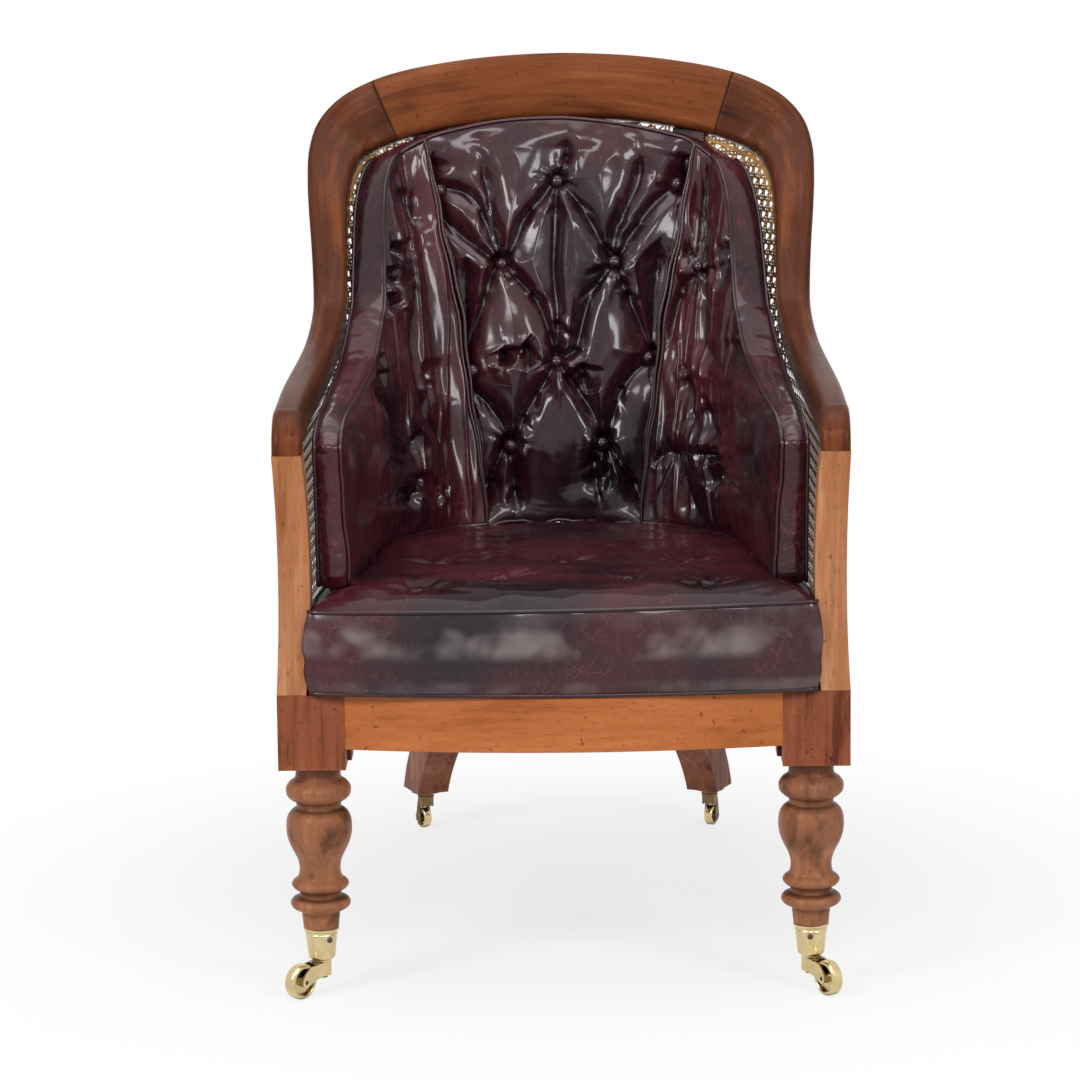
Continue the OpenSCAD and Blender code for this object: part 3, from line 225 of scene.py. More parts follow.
def strip_points(k):
    """Where the cane's inner and outer faces meet the rail, for fine frame k."""
    p, _, across, behind, w, t, c = FRAMES[k]
    h = CANE_T / 2
    lower = mix(np.array((CANE_IN + h, t)), np.array((w, CANE_IN - h)), c)
    upper = mix(np.array((CANE_IN - h, t)), np.array((w, CANE_IN + h)), c)
    return p + across * lower[0] + behind * lower[1], p + across * upper[0] + behind * upper[1]


# ---- the seat frame's plan

def plan_x(y, inset):
    """Half the width of the tapering front part, this far inside the frame's edge."""
    a = math.radians(TAPER)
    return (SEAT_R - inset - (y - ARC_Y) * math.sin(a)) / math.cos(a)


def plan_arc(inset, degrees):
    """A point of the round back part."""
    a = math.radians(degrees)
    return np.array(((SEAT_R - inset) * math.cos(a), ARC_Y + (SEAT_R - inset) * math.sin(a)))


COARSE = ([float(i) for i in range(TURN_STEPS + 1)]
          + [TURN_STEPS + 0.5 * k for k in range(1, 2 * (S_END - TURN_STEPS) + 1)])
COARSE_RAIL = np.array([rail_at(s)[:3] for s in COARSE])
COARSE_RUN = lengths(COARSE_RAIL)
BEND = next(i for i, p in enumerate(COARSE_RAIL) if p[1] >= ARC_Y)
ROUND_SHARE = np.clip((COARSE_RUN - COARSE_RUN[BEND]) / (COARSE_RUN[-1] - COARSE_RUN[BEND]), 0, 1)
COARSE_ANGLE = mix(TAPER, 90, ROUND_SHARE ** 0.92)


def foot_angle(s):
    return float(np.interp(s, COARSE, COARSE_ANGLE))


def foot(k, inset):
    """Where a column of the cane or a squab stands on the seat frame, for fine frame k."""
    s = FINE[k]
    if s <= COARSE[BEND]:
        y = strip_points(k)[0][1]
        return np.array((plan_x(y, inset), y))
    return plan_arc(inset, foot_angle(s))


def plane_x(p):
    """The distance in front of the rear leg's plane."""
    a = math.radians(LEG_TURN)
    return p[0] * math.cos(a) - (p[1] - ARC_Y) * math.sin(a)


STILE_S = next(s for s, p in zip(COARSE, COARSE_RAIL)
               if p[2] > ARM_H and plane_x(strip_points(int(round(s * FINE_STEPS)))[0]) < 0)


# ---- materials

class Nodes:
    """A thin wrapper that keeps the node trees of materials and the world short to write."""

    def __init__(self, owner, shader="Principled BSDF"):
        owner.use_nodes = True
        self.owner, self.tree = owner, owner.node_tree
        self.shader = self.tree.nodes[shader]

    def feed(self, socket, value):
        if isinstance(value, bpy.types.NodeSocket):
            self.tree.links.new(value, socket)
        else:
            socket.default_value = value

    def new(self, kind, inputs=None, **fields):
        node = self.tree.nodes.new(kind)
        for key, value in fields.items():
            setattr(node, key, value)
        for key, value in (inputs or {}).items():
            self.feed(node.inputs[key], value)
        return node

    def set(self, **values):
        for key, value in values.items():
            self.feed(self.shader.inputs[key.replace("_", " ")], value)

    def noise(self, vector, scale, detail=3.0, rough=0.55, distortion=0.0):
        return self.new("ShaderNodeTexNoise", {"Vector": vector, "Scale": scale, "Detail": detail,
                        "Roughness": rough, "Distortion": distortion}).outputs["Fac"]

    def scaled(self, vector, scale, location=(0, 0, 0)):
        return self.new("ShaderNodeMapping", {"Vector": vector, "Scale": scale,
                        "Location": location}).outputs["Vector"]

    def range(self, value, a, b, c=0.0, d=1.0):
        return self.new("ShaderNodeMapRange", {"Value": value, "From Min": a, "From Max": b,
                        "To Min": c, "To Max": d}, interpolation_type="SMOOTHSTEP").outputs["Result"]

    def math(self, operation, a, b=0.0):
        return self.new("ShaderNodeMath", {0: a, 1: b}, operation=operation).outputs[0]

    def times(self, a, b):
        return self.math("MULTIPLY", a, b)

    def blend(self, factor, a, b, mode="MIX"):
        node = self.new("ShaderNodeMix", data_type="RGBA", blend_type=mode)
        for key, value in ((0, factor), (6, a), (7, b)):
            self.feed(node.inputs[key], (*value, 1) if isinstance(value, tuple) else value)
        return node.outputs[2]

    def bump(self, height, strength, distance, normal=None):
        inputs = {"Height": height, "Strength": strength, "Distance": distance}
        if normal is not None:
            inputs["Normal"] = normal
        return self.new("ShaderNodeBump", inputs).outputs["Normal"]

    def attribute(self, name, output="Fac"):
        return self.new("ShaderNodeAttribute", attribute_name=name, attribute_type="GEOMETRY").outputs[output]

    def corners(self, distance):
        """1 in the open, falling towards 0 in corners of about this size."""
        return self.new("ShaderNodeAmbientOcclusion", {"Distance": distance}, samples=6).outputs["AO"]

    def height(self, vector):
        return self.new("ShaderNodeSeparateXYZ", {"Vector": vector}).outputs["Z"]

    def vector(self, operation, a, b):
        return self.new("ShaderNodeVectorMath", {0: a, 1: b}, operation=operation).outputs[0]


def object_coordinates(n):
    return n.new("ShaderNodeTexCoord").outputs["Object"]


BLOCK_FOOT = 0.2590  # metres: where the legs' square blocks end
BOXING_TOP = 0.4200  # metres: the upper edge of the seat squab's boxing


def wood(name, dark, middle, light, seed, rough, along=(1, 0, 0), grime_and_shade=0.0, lower=0.0, rail=False):
    """Polished mahogany. The grain runs along one axis, or along the rail where rail is true; grime_and_shade
    is the share of grime and painted shade darkening its corners, and lower the height under which the wood
    is turned and paler."""
    n = Nodes(bpy.data.materials.new(name))
    base = n.attribute("grain", "Vector") if rail else object_coordinates(n)
    shift = (seed, seed * 0.7, seed * 1.3)

    def grained(squeeze):
        return n.scaled(base, tuple(1.0 if a else squeeze for a in along), shift)

    figure = n.noise(grained(6.0), 4.2, 4.0, 0.6, 0.6)
    streaks = n.noise(grained(26.0), 5.0, 6.0, 0.62, 0.15)
    pores = n.noise(grained(18.0), 55.0, 2.0, 0.5)
    cloud = n.noise(grained(1), 9.0, 3.0, 0.5)
    tone = n.math("ADD", n.times(figure, 0.62), n.times(streaks, 0.38))
    tone = n.math("ADD", tone, n.times(n.math("SUBTRACT", cloud, 0.5), 0.18))
    colour = n.blend(n.range(tone, 0.36, 0.50), dark, middle)
    colour = n.blend(n.range(tone, 0.50, 0.66), colour, light)
    pore = n.range(pores, 0.30, 0.40, 1.0, 0.0)
    colour = n.blend(n.times(pore, 0.45), colour, tuple(c * 0.25 for c in dark))
    specks = n.range(n.noise(grained(1), 120.0, 1.0), 0.24, 0.30, 0.5, 0.0)
    colour = n.blend(specks, colour, tuple(c * 0.15 for c in dark))
    if lower:
        height = n.height(object_coordinates(n))

        def turned(below, above):
            return n.range(height, lower - 0.004, lower + 0.004, below, above)

        warm = n.blend(1.0, colour, (1.0, 0.98, 0.86), "MULTIPLY")
        colour = n.blend(turned(0.24, 0.0), n.blend(turned(0.85, 0.0), colour, warm), (0.42, 0.25, 0.15))
        stain = n.noise(n.scaled(base, (1, 1, 0.6), shift), 24.0, 3.0, 0.6, 0.4)
        stain = n.times(n.range(stain, 0.50, 0.70, 0.0, 0.72), turned(1.0, 0.25))
        colour = n.blend(stain, colour, (0.055, 0.022, 0.012))
    if rail:
        seam = n.times(n.math("POWER", n.attribute("seam"), 3.0), 0.9)
        colour = n.blend(seam, colour, (0.008, 0.004, 0.003))
    # painted shade, with some grime: the wood is darkened in its corners and under the rails, where ambient
    # occlusion finds shade
    if grime_and_shade:
        shade = n.range(n.corners(0.018), 0.40, 0.97, grime_and_shade, 0.0)
        colour = n.blend(shade, colour, tuple(c * 0.10 for c in dark))
    n.set(Base_Color=colour, Roughness=n.range(tone, 0.2, 0.8, rough + 0.07, rough - 0.03),
          Specular_IOR_Level=0.05, Coat_Weight=0.07, Coat_Roughness=0.20, Coat_IOR=1.45)
    rounded = None if rail else n.new("ShaderNodeBevel", {"Radius": 0.0012}, samples=4).outputs["Normal"]
    wavy = n.bump(n.noise(base, 14.0, 2.0), 0.12, 0.01, rounded)
    relief = n.math("ADD", n.times(streaks, 0.35), n.times(pore, -0.5))
    n.set(Normal=n.bump(relief, 0.22, 0.0006, wavy))
    return n.owner


def boxing_painted_sheen(n, base):
    """Where a pale highlight is painted on the seat's boxing: a cloudy band under its upper edge and another
    below.
    """
    height = n.height(base)
    cloud = n.range(n.noise(n.scaled(base, (0.7, 1, 0.8)), 24.0, 2.0, 0.5, 0.2), 0.40, 0.66)
    band = n.times(n.range(height, BOXING_TOP - 0.040, BOXING_TOP - 0.024),
                  n.range(height, BOXING_TOP - 0.010, BOXING_TOP + 0.004, 1.0, 0.3))
    low = n.times(n.range(height, BOXING_TOP - 0.056, BOXING_TOP - 0.066), 0.45)
    return n.times(cloud, n.math("MAXIMUM", band, low))


# Crackle in the leather: cells to the metre, line width, shift of the pattern and weight
CRACKLE = [(75.0, 0.026, 3.1, 0.8), (135.0, 0.042, 9.7, 0.7), (260.0, 0.06, 17.3, 0.5)]


def leather(name, red=1.0, shine=1.0, painted_sheen=0.0):
    """Glossy burgundy hide with pale red crackle, near black in the polished parts."""
    n = Nodes(bpy.data.materials.new(name))
    base = object_coordinates(n)
    patch = n.noise(base, 5.0, 2.0, 0.5, 0.3)
    blush = n.range(patch, 0.28, 0.74)
    colour = n.blend(n.times(blush, red), (0.0060, 0.0028, 0.0036), (0.060, 0.0070, 0.0150))
    # painted shade: the leather darkened down in its creases and round the buttons and tufts
    colour = n.blend(n.times(n.attribute("crease_shade"), 0.75), colour, (0.005, 0.002, 0.003))
    # painted highlight: pale grey sheen patches laid on the boxing
    if painted_sheen:
        colour = n.blend(n.times(boxing_painted_sheen(n, base), painted_sheen), colour, (0.26, 0.215, 0.215))
    drift = n.new("ShaderNodeTexNoise", {"Vector": base, "Scale": 60.0, "Detail": 2.0}).outputs["Color"]
    bent = n.vector("ADD", base, n.vector("MULTIPLY", drift, (0.014, 0.014, 0.014)))
    lines = None
    for scale, width, shift, weight in CRACKLE:
        moved = n.scaled(bent, (1, 1, 0.7), (shift, shift * 0.37, -shift))
        edge = n.new("ShaderNodeTexVoronoi", {"Vector": moved, "Scale": scale},
                     feature="DISTANCE_TO_EDGE").outputs["Distance"]
        mask = n.range(n.noise(moved, scale * 0.36, 3.0), 0.49, 0.66)
        line = n.times(n.times(n.range(edge, 0.0, width, 1.0, 0.0), mask), weight)
        lines = line if lines is None else n.math("MAXIMUM", lines, line)
    veins = n.times(lines, n.range(patch, 0.30, 0.60, 0.35, 1.0))
    colour = n.blend(n.times(veins, 0.95 * red), colour, (0.20, 0.052, 0.070))
    grain = n.new("ShaderNodeTexVoronoi", {"Vector": base, "Scale": 520.0}, feature="F1").outputs["Distance"]
    soft = n.noise(base, 30.0, 2.0, 0.5, 0.3)
    rough = n.math("ADD", n.range(soft, 0.25, 0.75, 0.23, 0.35), n.times(blush, 0.08))
    n.set(Base_Color=colour, Roughness=rough, Specular_IOR_Level=0.12 * shine,
          Coat_Weight=0.50 * shine, Coat_Roughness=0.13)
    creases = n.bump(n.times(lines, -1.0), 0.5, 0.0005)
    body = n.bump(soft, 0.16, 0.003, creases)
    n.set(Normal=n.bump(grain, 0.10, 0.0004, body))
    return n.owner


def metal(name, colour, dark, rough, grime_and_shade=0.7):
    """Brass or dark bronze: bright where it wears outside, with grime and painted shade darkening the
    corners.
    """
    n = Nodes(bpy.data.materials.new(name))
    base = object_coordinates(n)
    wear = n.noise(base, 60.0, 4.0, 0.6, 0.3)
    mixed = n.blend(n.range(wear, 0.35, 0.70), tuple(c * 0.82 for c in colour), colour)
    # painted shade with grime: near black where ambient occlusion finds the corners
    mixed = n.blend(n.range(n.corners(0.008), 0.25, 0.85, grime_and_shade, 0.0), mixed, dark)
    scratch = n.noise(n.scaled(base, (1, 1, 9)), 260.0, 3.0, 0.6)
    n.set(Base_Color=mixed, Metallic=1.0, Roughness=n.range(wear, 0.3, 0.75, rough + 0.10, rough))
    n.set(Normal=n.bump(scratch, 0.05, 0.0004))
    return n.owner


def cane_material(name, colour, dark):
    n = Nodes(bpy.data.materials.new(name))
    base = object_coordinates(n)
    tone = n.noise(base, 38.0, 4.0, 0.6, 0.3)
    fine = n.noise(base, 420.0, 2.0, 0.5)
    mixed = n.blend(n.range(tone, 0.32, 0.66), dark, colour)
    mixed = n.blend(n.range(fine, 0.30, 0.55, 0.35, 0.0), mixed, tuple(c * 0.5 for c in dark))
    n.set(Base_Color=mixed, Roughness=0.55, Specular_IOR_Level=0.2)
    n.set(Normal=n.bump(fine, 0.2, 0.0005))
    return n.owner


Z_AXIS = (0, 0, 1)
CREST = wood("mahogany_crest", (0.085, 0.021, 0.007), (0.165, 0.046, 0.014), (0.25, 0.080, 0.026),
             1.7, 0.34, rail=True)
ARM = wood("mahogany_arm", (0.028, 0.0075, 0.0030), (0.078, 0.0210, 0.0080), (0.160, 0.045, 0.0150),
           4.1, 0.34, rail=True)
SUPPORT = wood("mahogany_support", (0.25, 0.083, 0.031), (0.36, 0.146, 0.062), (0.50, 0.230, 0.112),
               2.3, 0.36, Z_AXIS)
FRONT_RAIL = wood("mahogany_front_rail", (0.33, 0.092, 0.028), (0.42, 0.128, 0.040), (0.49, 0.162, 0.054),
                  7.9, 0.34)
BLOCK = wood("mahogany_block", (0.110, 0.028, 0.013), (0.250, 0.072, 0.033), (0.40, 0.148, 0.064),
             5.5, 0.32, Z_AXIS, grime_and_shade=0.9, lower=BLOCK_FOOT)
REAR_LEG = wood("mahogany_rear_leg", (0.10, 0.028, 0.017), (0.215, 0.072, 0.040), (0.32, 0.13, 0.075),
                8.8, 0.36, Z_AXIS, grime_and_shade=0.85)
SIDE_RAIL = wood("mahogany_side_rail", (0.09, 0.026, 0.014), (0.19, 0.06, 0.028), (0.29, 0.11, 0.05),
                 3.3, 0.38, (0, 1, 0))
DOWEL = wood("beech_dowel", (0.35, 0.22, 0.12), (0.5, 0.34, 0.2), (0.6, 0.42, 0.26), 6.1, 0.5, Z_AXIS)
LEATHER = leather("burgundy_leather", red=0.50, shine=1.1)
SIDE_LEATHER = leather("burgundy_leather_side", red=1.05, shine=1.0)
SEAT_TOP_LEATHER = leather("burgundy_leather_seat", red=0.95, shine=0.42)
BOXING_LEATHER = leather("burgundy_leather_boxing", red=0.9, shine=1.1, painted_sheen=0.55)
PIPING = leather("burgundy_piping", red=0.5, shine=1.1)
BRASS = metal("worn_brass", (0.72, 0.575, 0.31), (0.050, 0.032, 0.014), 0.19, grime_and_shade=0.95)
DARK_BRASS = metal("dark_brass", (0.22, 0.145, 0.075), (0.03, 0.02, 0.012), 0.34)
IRON = metal("dark_iron", (0.10, 0.085, 0.07), (0.02, 0.016, 0.013), 0.45)
CANE = cane_material("honey_cane", (0.56, 0.31, 0.095), (0.27, 0.125, 0.034))
BINDING = cane_material("cane_binding_strip", (0.62, 0.32, 0.085), (0.34, 0.15, 0.04))


def carried(material, single=(), pairs=()):
    """Gives carried-over CAD nodes their material; pairs are there on the left and on the right."""
    for name in [*single, *("left_" + p for p in pairs), *("right_" + p for p in pairs)]:
        nodes[name].data.materials.clear()
        nodes[name].data.materials.append(material)


carried(SUPPORT, pairs=["arm_support"])
carried(FRONT_RAIL, ["front_seat_rail"])
carried(BLOCK, ["corner_blocks"], ["front_leg"])
carried(REAR_LEG, pairs=["rear_leg"])
carried(SIDE_RAIL, ["rear_seat_rail"], ["seat_rail"])
carried(DOWEL, ["frame_dowels"])
carried(BINDING, ["cane_bindings"])
carried(BRASS, pairs=["front_cup", "front_horn", "front_wheel", "rear_wheel"])
carried(DARK_BRASS, pairs=["rear_plate", "rear_fork"])
carried(IRON, ["cup_screws", "plate_screws", "corner_block_screws"],
        ["front_pivot", "front_axle", "rear_pivot", "rear_axle"])


# ---- the rails, smooth, each with its grain running along it

PIECE_STEPS = 10  # rings to a station


def rail_piece(name, s0, s1, side, material, replaced):
    """One sawn piece of the rail from s0 to s1; past the middle the curve is mirrored."""
    steps = int(round((s1 - s0) * PIECE_STEPS))
    verts, grain, seam, run, last = [], [], [], 0.0, None
    for i in range(steps + 1):
        s = s0 + (s1 - s0) * i / steps
        turn = (-1, 1, 1) if s > S_END else (1, 1, 1)
        p, _, across, behind, w, t, crested = rail_frame(2 * S_END - s if s > S_END else s)
        if last is not None:
            run += np.linalg.norm(p * turn - last)
        last = p * turn
        for a, c in rail_section(w, t, crested):
            verts.append((p + across * a + behind * c) * turn * (side, 1, 1))
            grain.append((run * 0.001, a * 0.001, c * 0.001))
            seam.append(1.0 if i in (0, steps) and s > 0 else 0.0)
    ring = 4 * (CORNER_STEPS + 1)
    faces = grid_faces(steps + 1, ring, flip=side > 0, closed_v=True)
    faces.append(tuple(range(ring)[::side]))
    faces.append(tuple(range(steps * ring, (steps + 1) * ring)[::-side]))
    obj = mesh_object(name, verts, faces, material, replaced=replaced)
    for face in obj.data.polygons[-2:]:
        face.use_smooth = False
    point_attribute(obj, "grain", grain)
    point_attribute(obj, "seam", seam)


rail_piece("crest_rail_smooth", RIGHT_JOINT, 2 * S_END - LEFT_JOINT, 1, CREST, "crest_rail")
rail_piece("right_arm_rail_smooth", 0, RIGHT_JOINT, 1, ARM, "right_arm_rail")
rail_piece("left_arm_rail_smooth", 0, LEFT_JOINT, -1, ARM, "left_arm_rail")


# ---- squabs: where they stand

LEG_ANGLE = 90 - LEG_TURN
SEAT_IN = ARM_FACE_W + 3 * REST_GAP
SEAT_IN_BACK = CANE_IN + CANE_T / 2 + BINDING_T + 2 * REST_GAP
SQUAB_EDGE = 9.0
MITRE_S = STILE_S - 0.6
FRONT_LEAN = 7.0    # how far the side squabs' feet lean in at the front
LEAST_DEPTH = 11.0  # no fold goes nearer to the cane than this
# How far the squabs' upper edges have sunk away from the rail, at these stations, as photographed
SAG_STATIONS = (6, 8, 9, 10, 11, 12, 14, 15, 16, 17, 18, 19, 20, 21, 22, 23, 24, 25, 26, 27)
RIGHT_SAG = (9, 10, 10, 8, 7, 8, 10, 12, 15, 19, 24, 26, 24, 21, 16, 9.5, 8, 6, 3.5, 1.5)
LEFT_SAG = (8, 7, 6, 5, 4, 4, 5, 5, 6, 7, 9, 9, 8, 7, 5, 3, 2, 1, 0.5, 0)


def mitre(v):
    """The seam between the back and side squabs swings out at its top and its foot."""
    return (MITRE_S - 0.42 * (1 - ease(v / 0.42)) - 0.18 * ease((v - 0.6) / 0.4)
            + 0.07 * np.sin(v * 17) + 0.04 * np.sin(v * 41 + 1))


def squab_in(a):
    """How far inside the frame's edge a squab stands, at a column's angle."""
    return mix(SEAT_IN, SEAT_IN_BACK, ease((a - TAPER) / (LEG_ANGLE - TAPER)))


SQUAB_TOPS = np.array([p + across * (w + 3 * REST_GAP)
                       + behind * mix(BEND_R / 4, CANE_IN - CANE_T / 2 - BINDING_T - 2 * REST_GAP, c)
                       for p, _, across, behind, w, _, c in FRAMES])
SQUAB_FEET = np.array([(*foot(k, squab_in(foot_angle(s))), SEAT_H) for k, s in enumerate(FINE)])
RAIL_ACROSS = np.array([f[2] for f in FRAMES])
SQUAB_ANGLES = np.radians([foot_angle(s) for s in FINE])


def at_station(values, s):
    return np.stack([np.interp(s, FINE, values[:, i]) for i in range(3)], axis=-1)


def squab_top(s, right):
    """A squab's upper edge; right is 0 on the chair's left half and 1 on its right."""
    sag = mix(np.interp(s, SAG_STATIONS, LEFT_SAG), np.interp(s, SAG_STATIONS, RIGHT_SAG), right)
    return at_station(SQUAB_TOPS, s) + at_station(RAIL_ACROSS, s) * sag[..., None]


def squab_point(s, z, depth, right):
    """Points at height z on the columns at s, depth millimetres in from the cane."""
    top, low = squab_top(s, right), at_station(SQUAB_FEET, s)
    low = low - np.stack([FRONT_LEAN * (1 - ease((s - 6) / 7)), 0 * s, 0 * s], axis=-1)
    a = np.interp(s, FINE, SQUAB_ANGLES)
    p = top + (low - top) * ((top[..., 2] - z) / (top[..., 2] - low[..., 2]))[..., None]
    return np.stack([p[..., 0] - depth * np.cos(a), p[..., 1] - depth * np.sin(a), z + 0 * depth], axis=-1)


def seat_level(y):
    """The height of the seat squab's top at the middle of the chair."""
    return SQUAB_TOP + SQUAB_CROWN - SQUAB_FALL * np.clip(y / (ARC_Y + SEAT_R / 2), 0, 1)


def hump(u):
    """Nought at both ends, and nearly 1 over most of what lies between."""
    return 1 - (2 * u - 1) ** 4


def lattice(x, y, seed):
    """Smooth value noise from 0 to 1 on a seeded lattice."""
    table = np.random.RandomState(seed).rand(128, 128)
    i, j = np.floor(x).astype(int), np.floor(y).astype(int)
    u, v = ease(x - i), ease(y - j)

    def at(a, b):
        return table[(i + a) % 128, (j + b) % 128]
    return mix(mix(at(0, 0), at(1, 0), u), mix(at(0, 1), at(1, 1), u), v)


def cloudy(x, y, seed, octaves=3):
    """Layered value noise from -1 to 1; a plain number for x or y counts everywhere."""
    x, y = np.broadcast_arrays(x, y)
    total = sum(lattice(x * 2 ** k, y * 2 ** k, seed + k) * 0.5 ** k for k in range(octaves))
    return total / sum(0.5 ** k for k in range(octaves)) * 2 - 1


# ---- creases: lines drawn in the photograph's frame, 1080 wide, and laid on the pads

CAMERA_TURN, CAMERA_TIP, CAMERA_ROLL = 0.3, 10.5, 0.6  # degrees
CAMERA_AWAY, CAMERA_HIGH = 4300, 1300                  # before the front legs' axes, and up
FRAME, FOCAL, SHIFT = 1080, 4058, 22.1                 # pixels


def image_point(p):
    """Where a point in millimetres falls in the camera's 1080 by 1080 frame."""
    x, y, z = p[..., 0], p[..., 1], p[..., 2]
    turn, tip, roll = (math.radians(a) for a in (CAMERA_TURN, CAMERA_TIP, CAMERA_ROLL))
    across = x * math.cos(turn) + y * math.sin(turn)
    away, down = y * math.cos(turn) - x * math.sin(turn) + CAMERA_AWAY, CAMERA_HIGH - z
    depth = away * math.cos(tip) + down * math.sin(tip)
    rise = away * math.sin(tip) - down * math.cos(tip)
    u, w = SHIFT + FOCAL * across / depth, -FOCAL * rise / depth
    return FRAME / 2 + np.stack([u * math.cos(roll) + w * math.sin(roll),
                                 w * math.cos(roll) - u * math.sin(roll)], axis=-1)


def curved(line, steps=5):
    """A smooth curve through the points of a line."""
    p = np.array(line, float)
    p = np.vstack([2 * p[0] - p[1], p, 2 * p[-1] - p[-2]])
    out = [p[1]]
    for i in range(1, len(p) - 2):
        out += [spline(*p[i - 1:i + 3], k / steps) for k in range(1, steps + 1)]
    return np.array(out)


def line_distance(at, line):
    """Distance of each place from a curved line, the side it lies on, and how far along it is."""
    best, side, run = np.full(len(at), 1e9), np.ones(len(at)), np.zeros(len(at))
    for j in range(len(line) - 1):
        a, ab = line[j], line[j + 1] - line[j]
        t = np.clip(((at - a) @ ab) / max(ab @ ab, 1e-9), 0, 1)
        off = at - a - t[:, None] * ab
        d = np.hypot(off[:, 0], off[:, 1])
        nearer = d < best
        best[nearer] = d[nearer]
        side[nearer] = np.sign(ab[0] * off[:, 1] - ab[1] * off[:, 0])[nearer]
        run[nearer] = ((j + t) / (len(line) - 1))[nearer]
    return best, side, run


RAYS = 9  # small wrinkles round a button


def stroke(start, angle, bend, reach, shares=(0.0, 0.5, 1.0), gap=0.0):
    """Three points of a slightly bent line that leaves a point at an angle."""
    points = []
    for t in shares:
        a = angle + bend * t
        points.append(tuple(start + (gap + reach * t) * np.array((math.cos(a), math.sin(a)))))
    return points


def branches(lines, buttons, seed, count=3):
    """Small wrinkles that leave the creases and the buttons."""
    r = random.Random(seed)
    out = []
    for line in lines:
        p = curved(line, 4)
        for _ in range(count):
            i = r.randrange(1, len(p) - 1)
            d = p[min(i + 1, len(p) - 1)] - p[i - 1]
            turn = math.atan2(d[1], d[0]) + r.choice((-1, 1)) * math.radians(r.uniform(16, 50))
            reach = r.uniform(14, 30)
            out.append(stroke(p[i], turn, r.uniform(-0.5, 0.5), reach))
    for button in buttons:
        start = r.uniform(0, 60)
        for k in range(RAYS):
            a = math.radians(start + 360 / RAYS * k + r.uniform(-13, 13))
            reach = r.uniform(15, 30)
            out.append(stroke(button, a, r.uniform(-0.25, 0.25), reach, gap=6))
    return out


def crease_field(at, lines, buttons, seed, pillow, spread, ridge, dimple, fine, valley=1.4, width=3.4):
    """Height in millimetres, nought at the crowns, and a share of painted shade down in the folds and round
    the buttons.
    The pillow is the depth of the leather's fall towards a crease, from as far away as spread."""
    r = random.Random(seed)
    nearest = np.full(len(at), 1e9)
    height, crease_shade = np.zeros(len(at)), np.zeros(len(at))
    tied = np.array(buttons, float).reshape(-1, 2)
    for line in lines:
        p = curved(line)
        d, side, run = line_distance(at, p)
        ends = [len(tied) > 0 and np.min(np.hypot(*(tied - e).T)) < 14 for e in (p[0], p[-1])]
        power = np.minimum(1 if ends[0] else ease(run / 0.35) * 0.85 + 0.15,
                           1 if ends[1] else ease((1 - run) / 0.35) * 0.85 + 0.15)
        lean = r.choice((-1, 1))
        narrow = width * r.uniform(0.8, 1.25)
        cut = np.exp(-(d / narrow) ** 2) * power
        height -= valley * cut
        height += ridge * power * np.exp(-((d * side * lean - 3.4 * narrow) / (2.2 * narrow)) ** 2)
        crease_shade = np.maximum(crease_shade, cut)
        nearest = np.minimum(nearest, d + (1 - power) * spread * 1.6)
    height -= pillow * np.exp(-(nearest / spread) ** 1.05)
    for line in branches(lines, buttons, seed + 1):
        d, side, run = line_distance(at, curved(line, 3))
        power = (1 - ease(run)) * fine * r.uniform(0.5, 1.2)
        lean = r.choice((-1, 1))
        height -= 1.8 * power * np.exp(-(d / 3.0) ** 2)
        height += 1.3 * power * np.exp(-((d * side * lean - 6.5) / 4.4) ** 2)
    for b in tied:
        d = np.hypot(*(at - b).T)
        height -= dimple * np.exp(-(d / 13.0) ** 1.6)
        crease_shade = np.maximum(crease_shade, np.exp(-(d / 9.5) ** 4))
    return height, crease_shade


BACK_BUTTONS = [(428, 194), (557, 181), (676, 184), (503, 264), (613, 263), (469, 373), (557, 362),
                (648, 358), (512, 446), (601, 444)]
BACK_CREASES = [
    [(503, 264), (497, 235), (493, 205), (486, 170), (480, 140)],
    [(557, 181), (545, 197), (527, 220), (515, 247), (503, 264)],
    [(557, 181), (556, 210), (555, 240), (554, 270), (557, 310), (558, 340), (557, 362)],
    [(503, 264), (494, 280), (487, 305), (477, 337), (472, 355), (469, 373)],
    [(503, 264), (512, 272), (528, 290), (541, 308), (549, 330), (557, 362)],
    [(557, 181), (575, 200), (590, 225), (603, 250), (613, 263)],
    [(613, 263), (611, 240), (622, 212), (634, 185), (637, 160), (634, 140)],
    [(613, 263), (624, 243), (640, 218), (655, 200), (676, 184)],
    [(613, 263), (602, 276), (588, 300), (580, 330), (574, 352), (557, 362)],
    [(613, 263), (622, 290), (634, 320), (648, 358)],
    [(664, 228), (655, 255), (650, 290), (648, 330), (648, 358)],
    [(557, 362), (545, 385), (530, 412), (512, 446)],
    [(557, 362), (577, 392), (592, 417), (601, 444)],
    [(469, 373), (478, 392), (492, 405), (505, 425), (512, 446)],
    [(648, 358), (632, 372), (618, 392), (610, 418), (601, 444)],
    [(512, 446), (516, 470), (519, 500), (517, 518)],
    [(601, 444), (592, 470), (600, 505)], [(601, 444), (607, 470), (608, 500)],
    [(512, 446), (500, 470), (490, 500), (484, 530)], [(601, 444), (620, 470), (635, 500), (640, 525)],
    [(469, 373), (468, 400), (470, 440)], [(557, 181), (566, 160), (567, 125)],
    [(676, 184), (680, 165), (684, 150)], [(428, 194), (434, 175), (436, 147)],
    [(428, 194), (452, 190), (475, 198), (489, 222), (503, 264)],
    [(428, 194), (445, 215), (470, 240), (503, 264)],
    [(466, 232), (470, 280), (471, 330), (469, 373)], [(505, 345), (510, 370)],
    [(520, 345), (530, 352), (527, 380)], [(582, 355), (582, 380), (592, 415)],
]
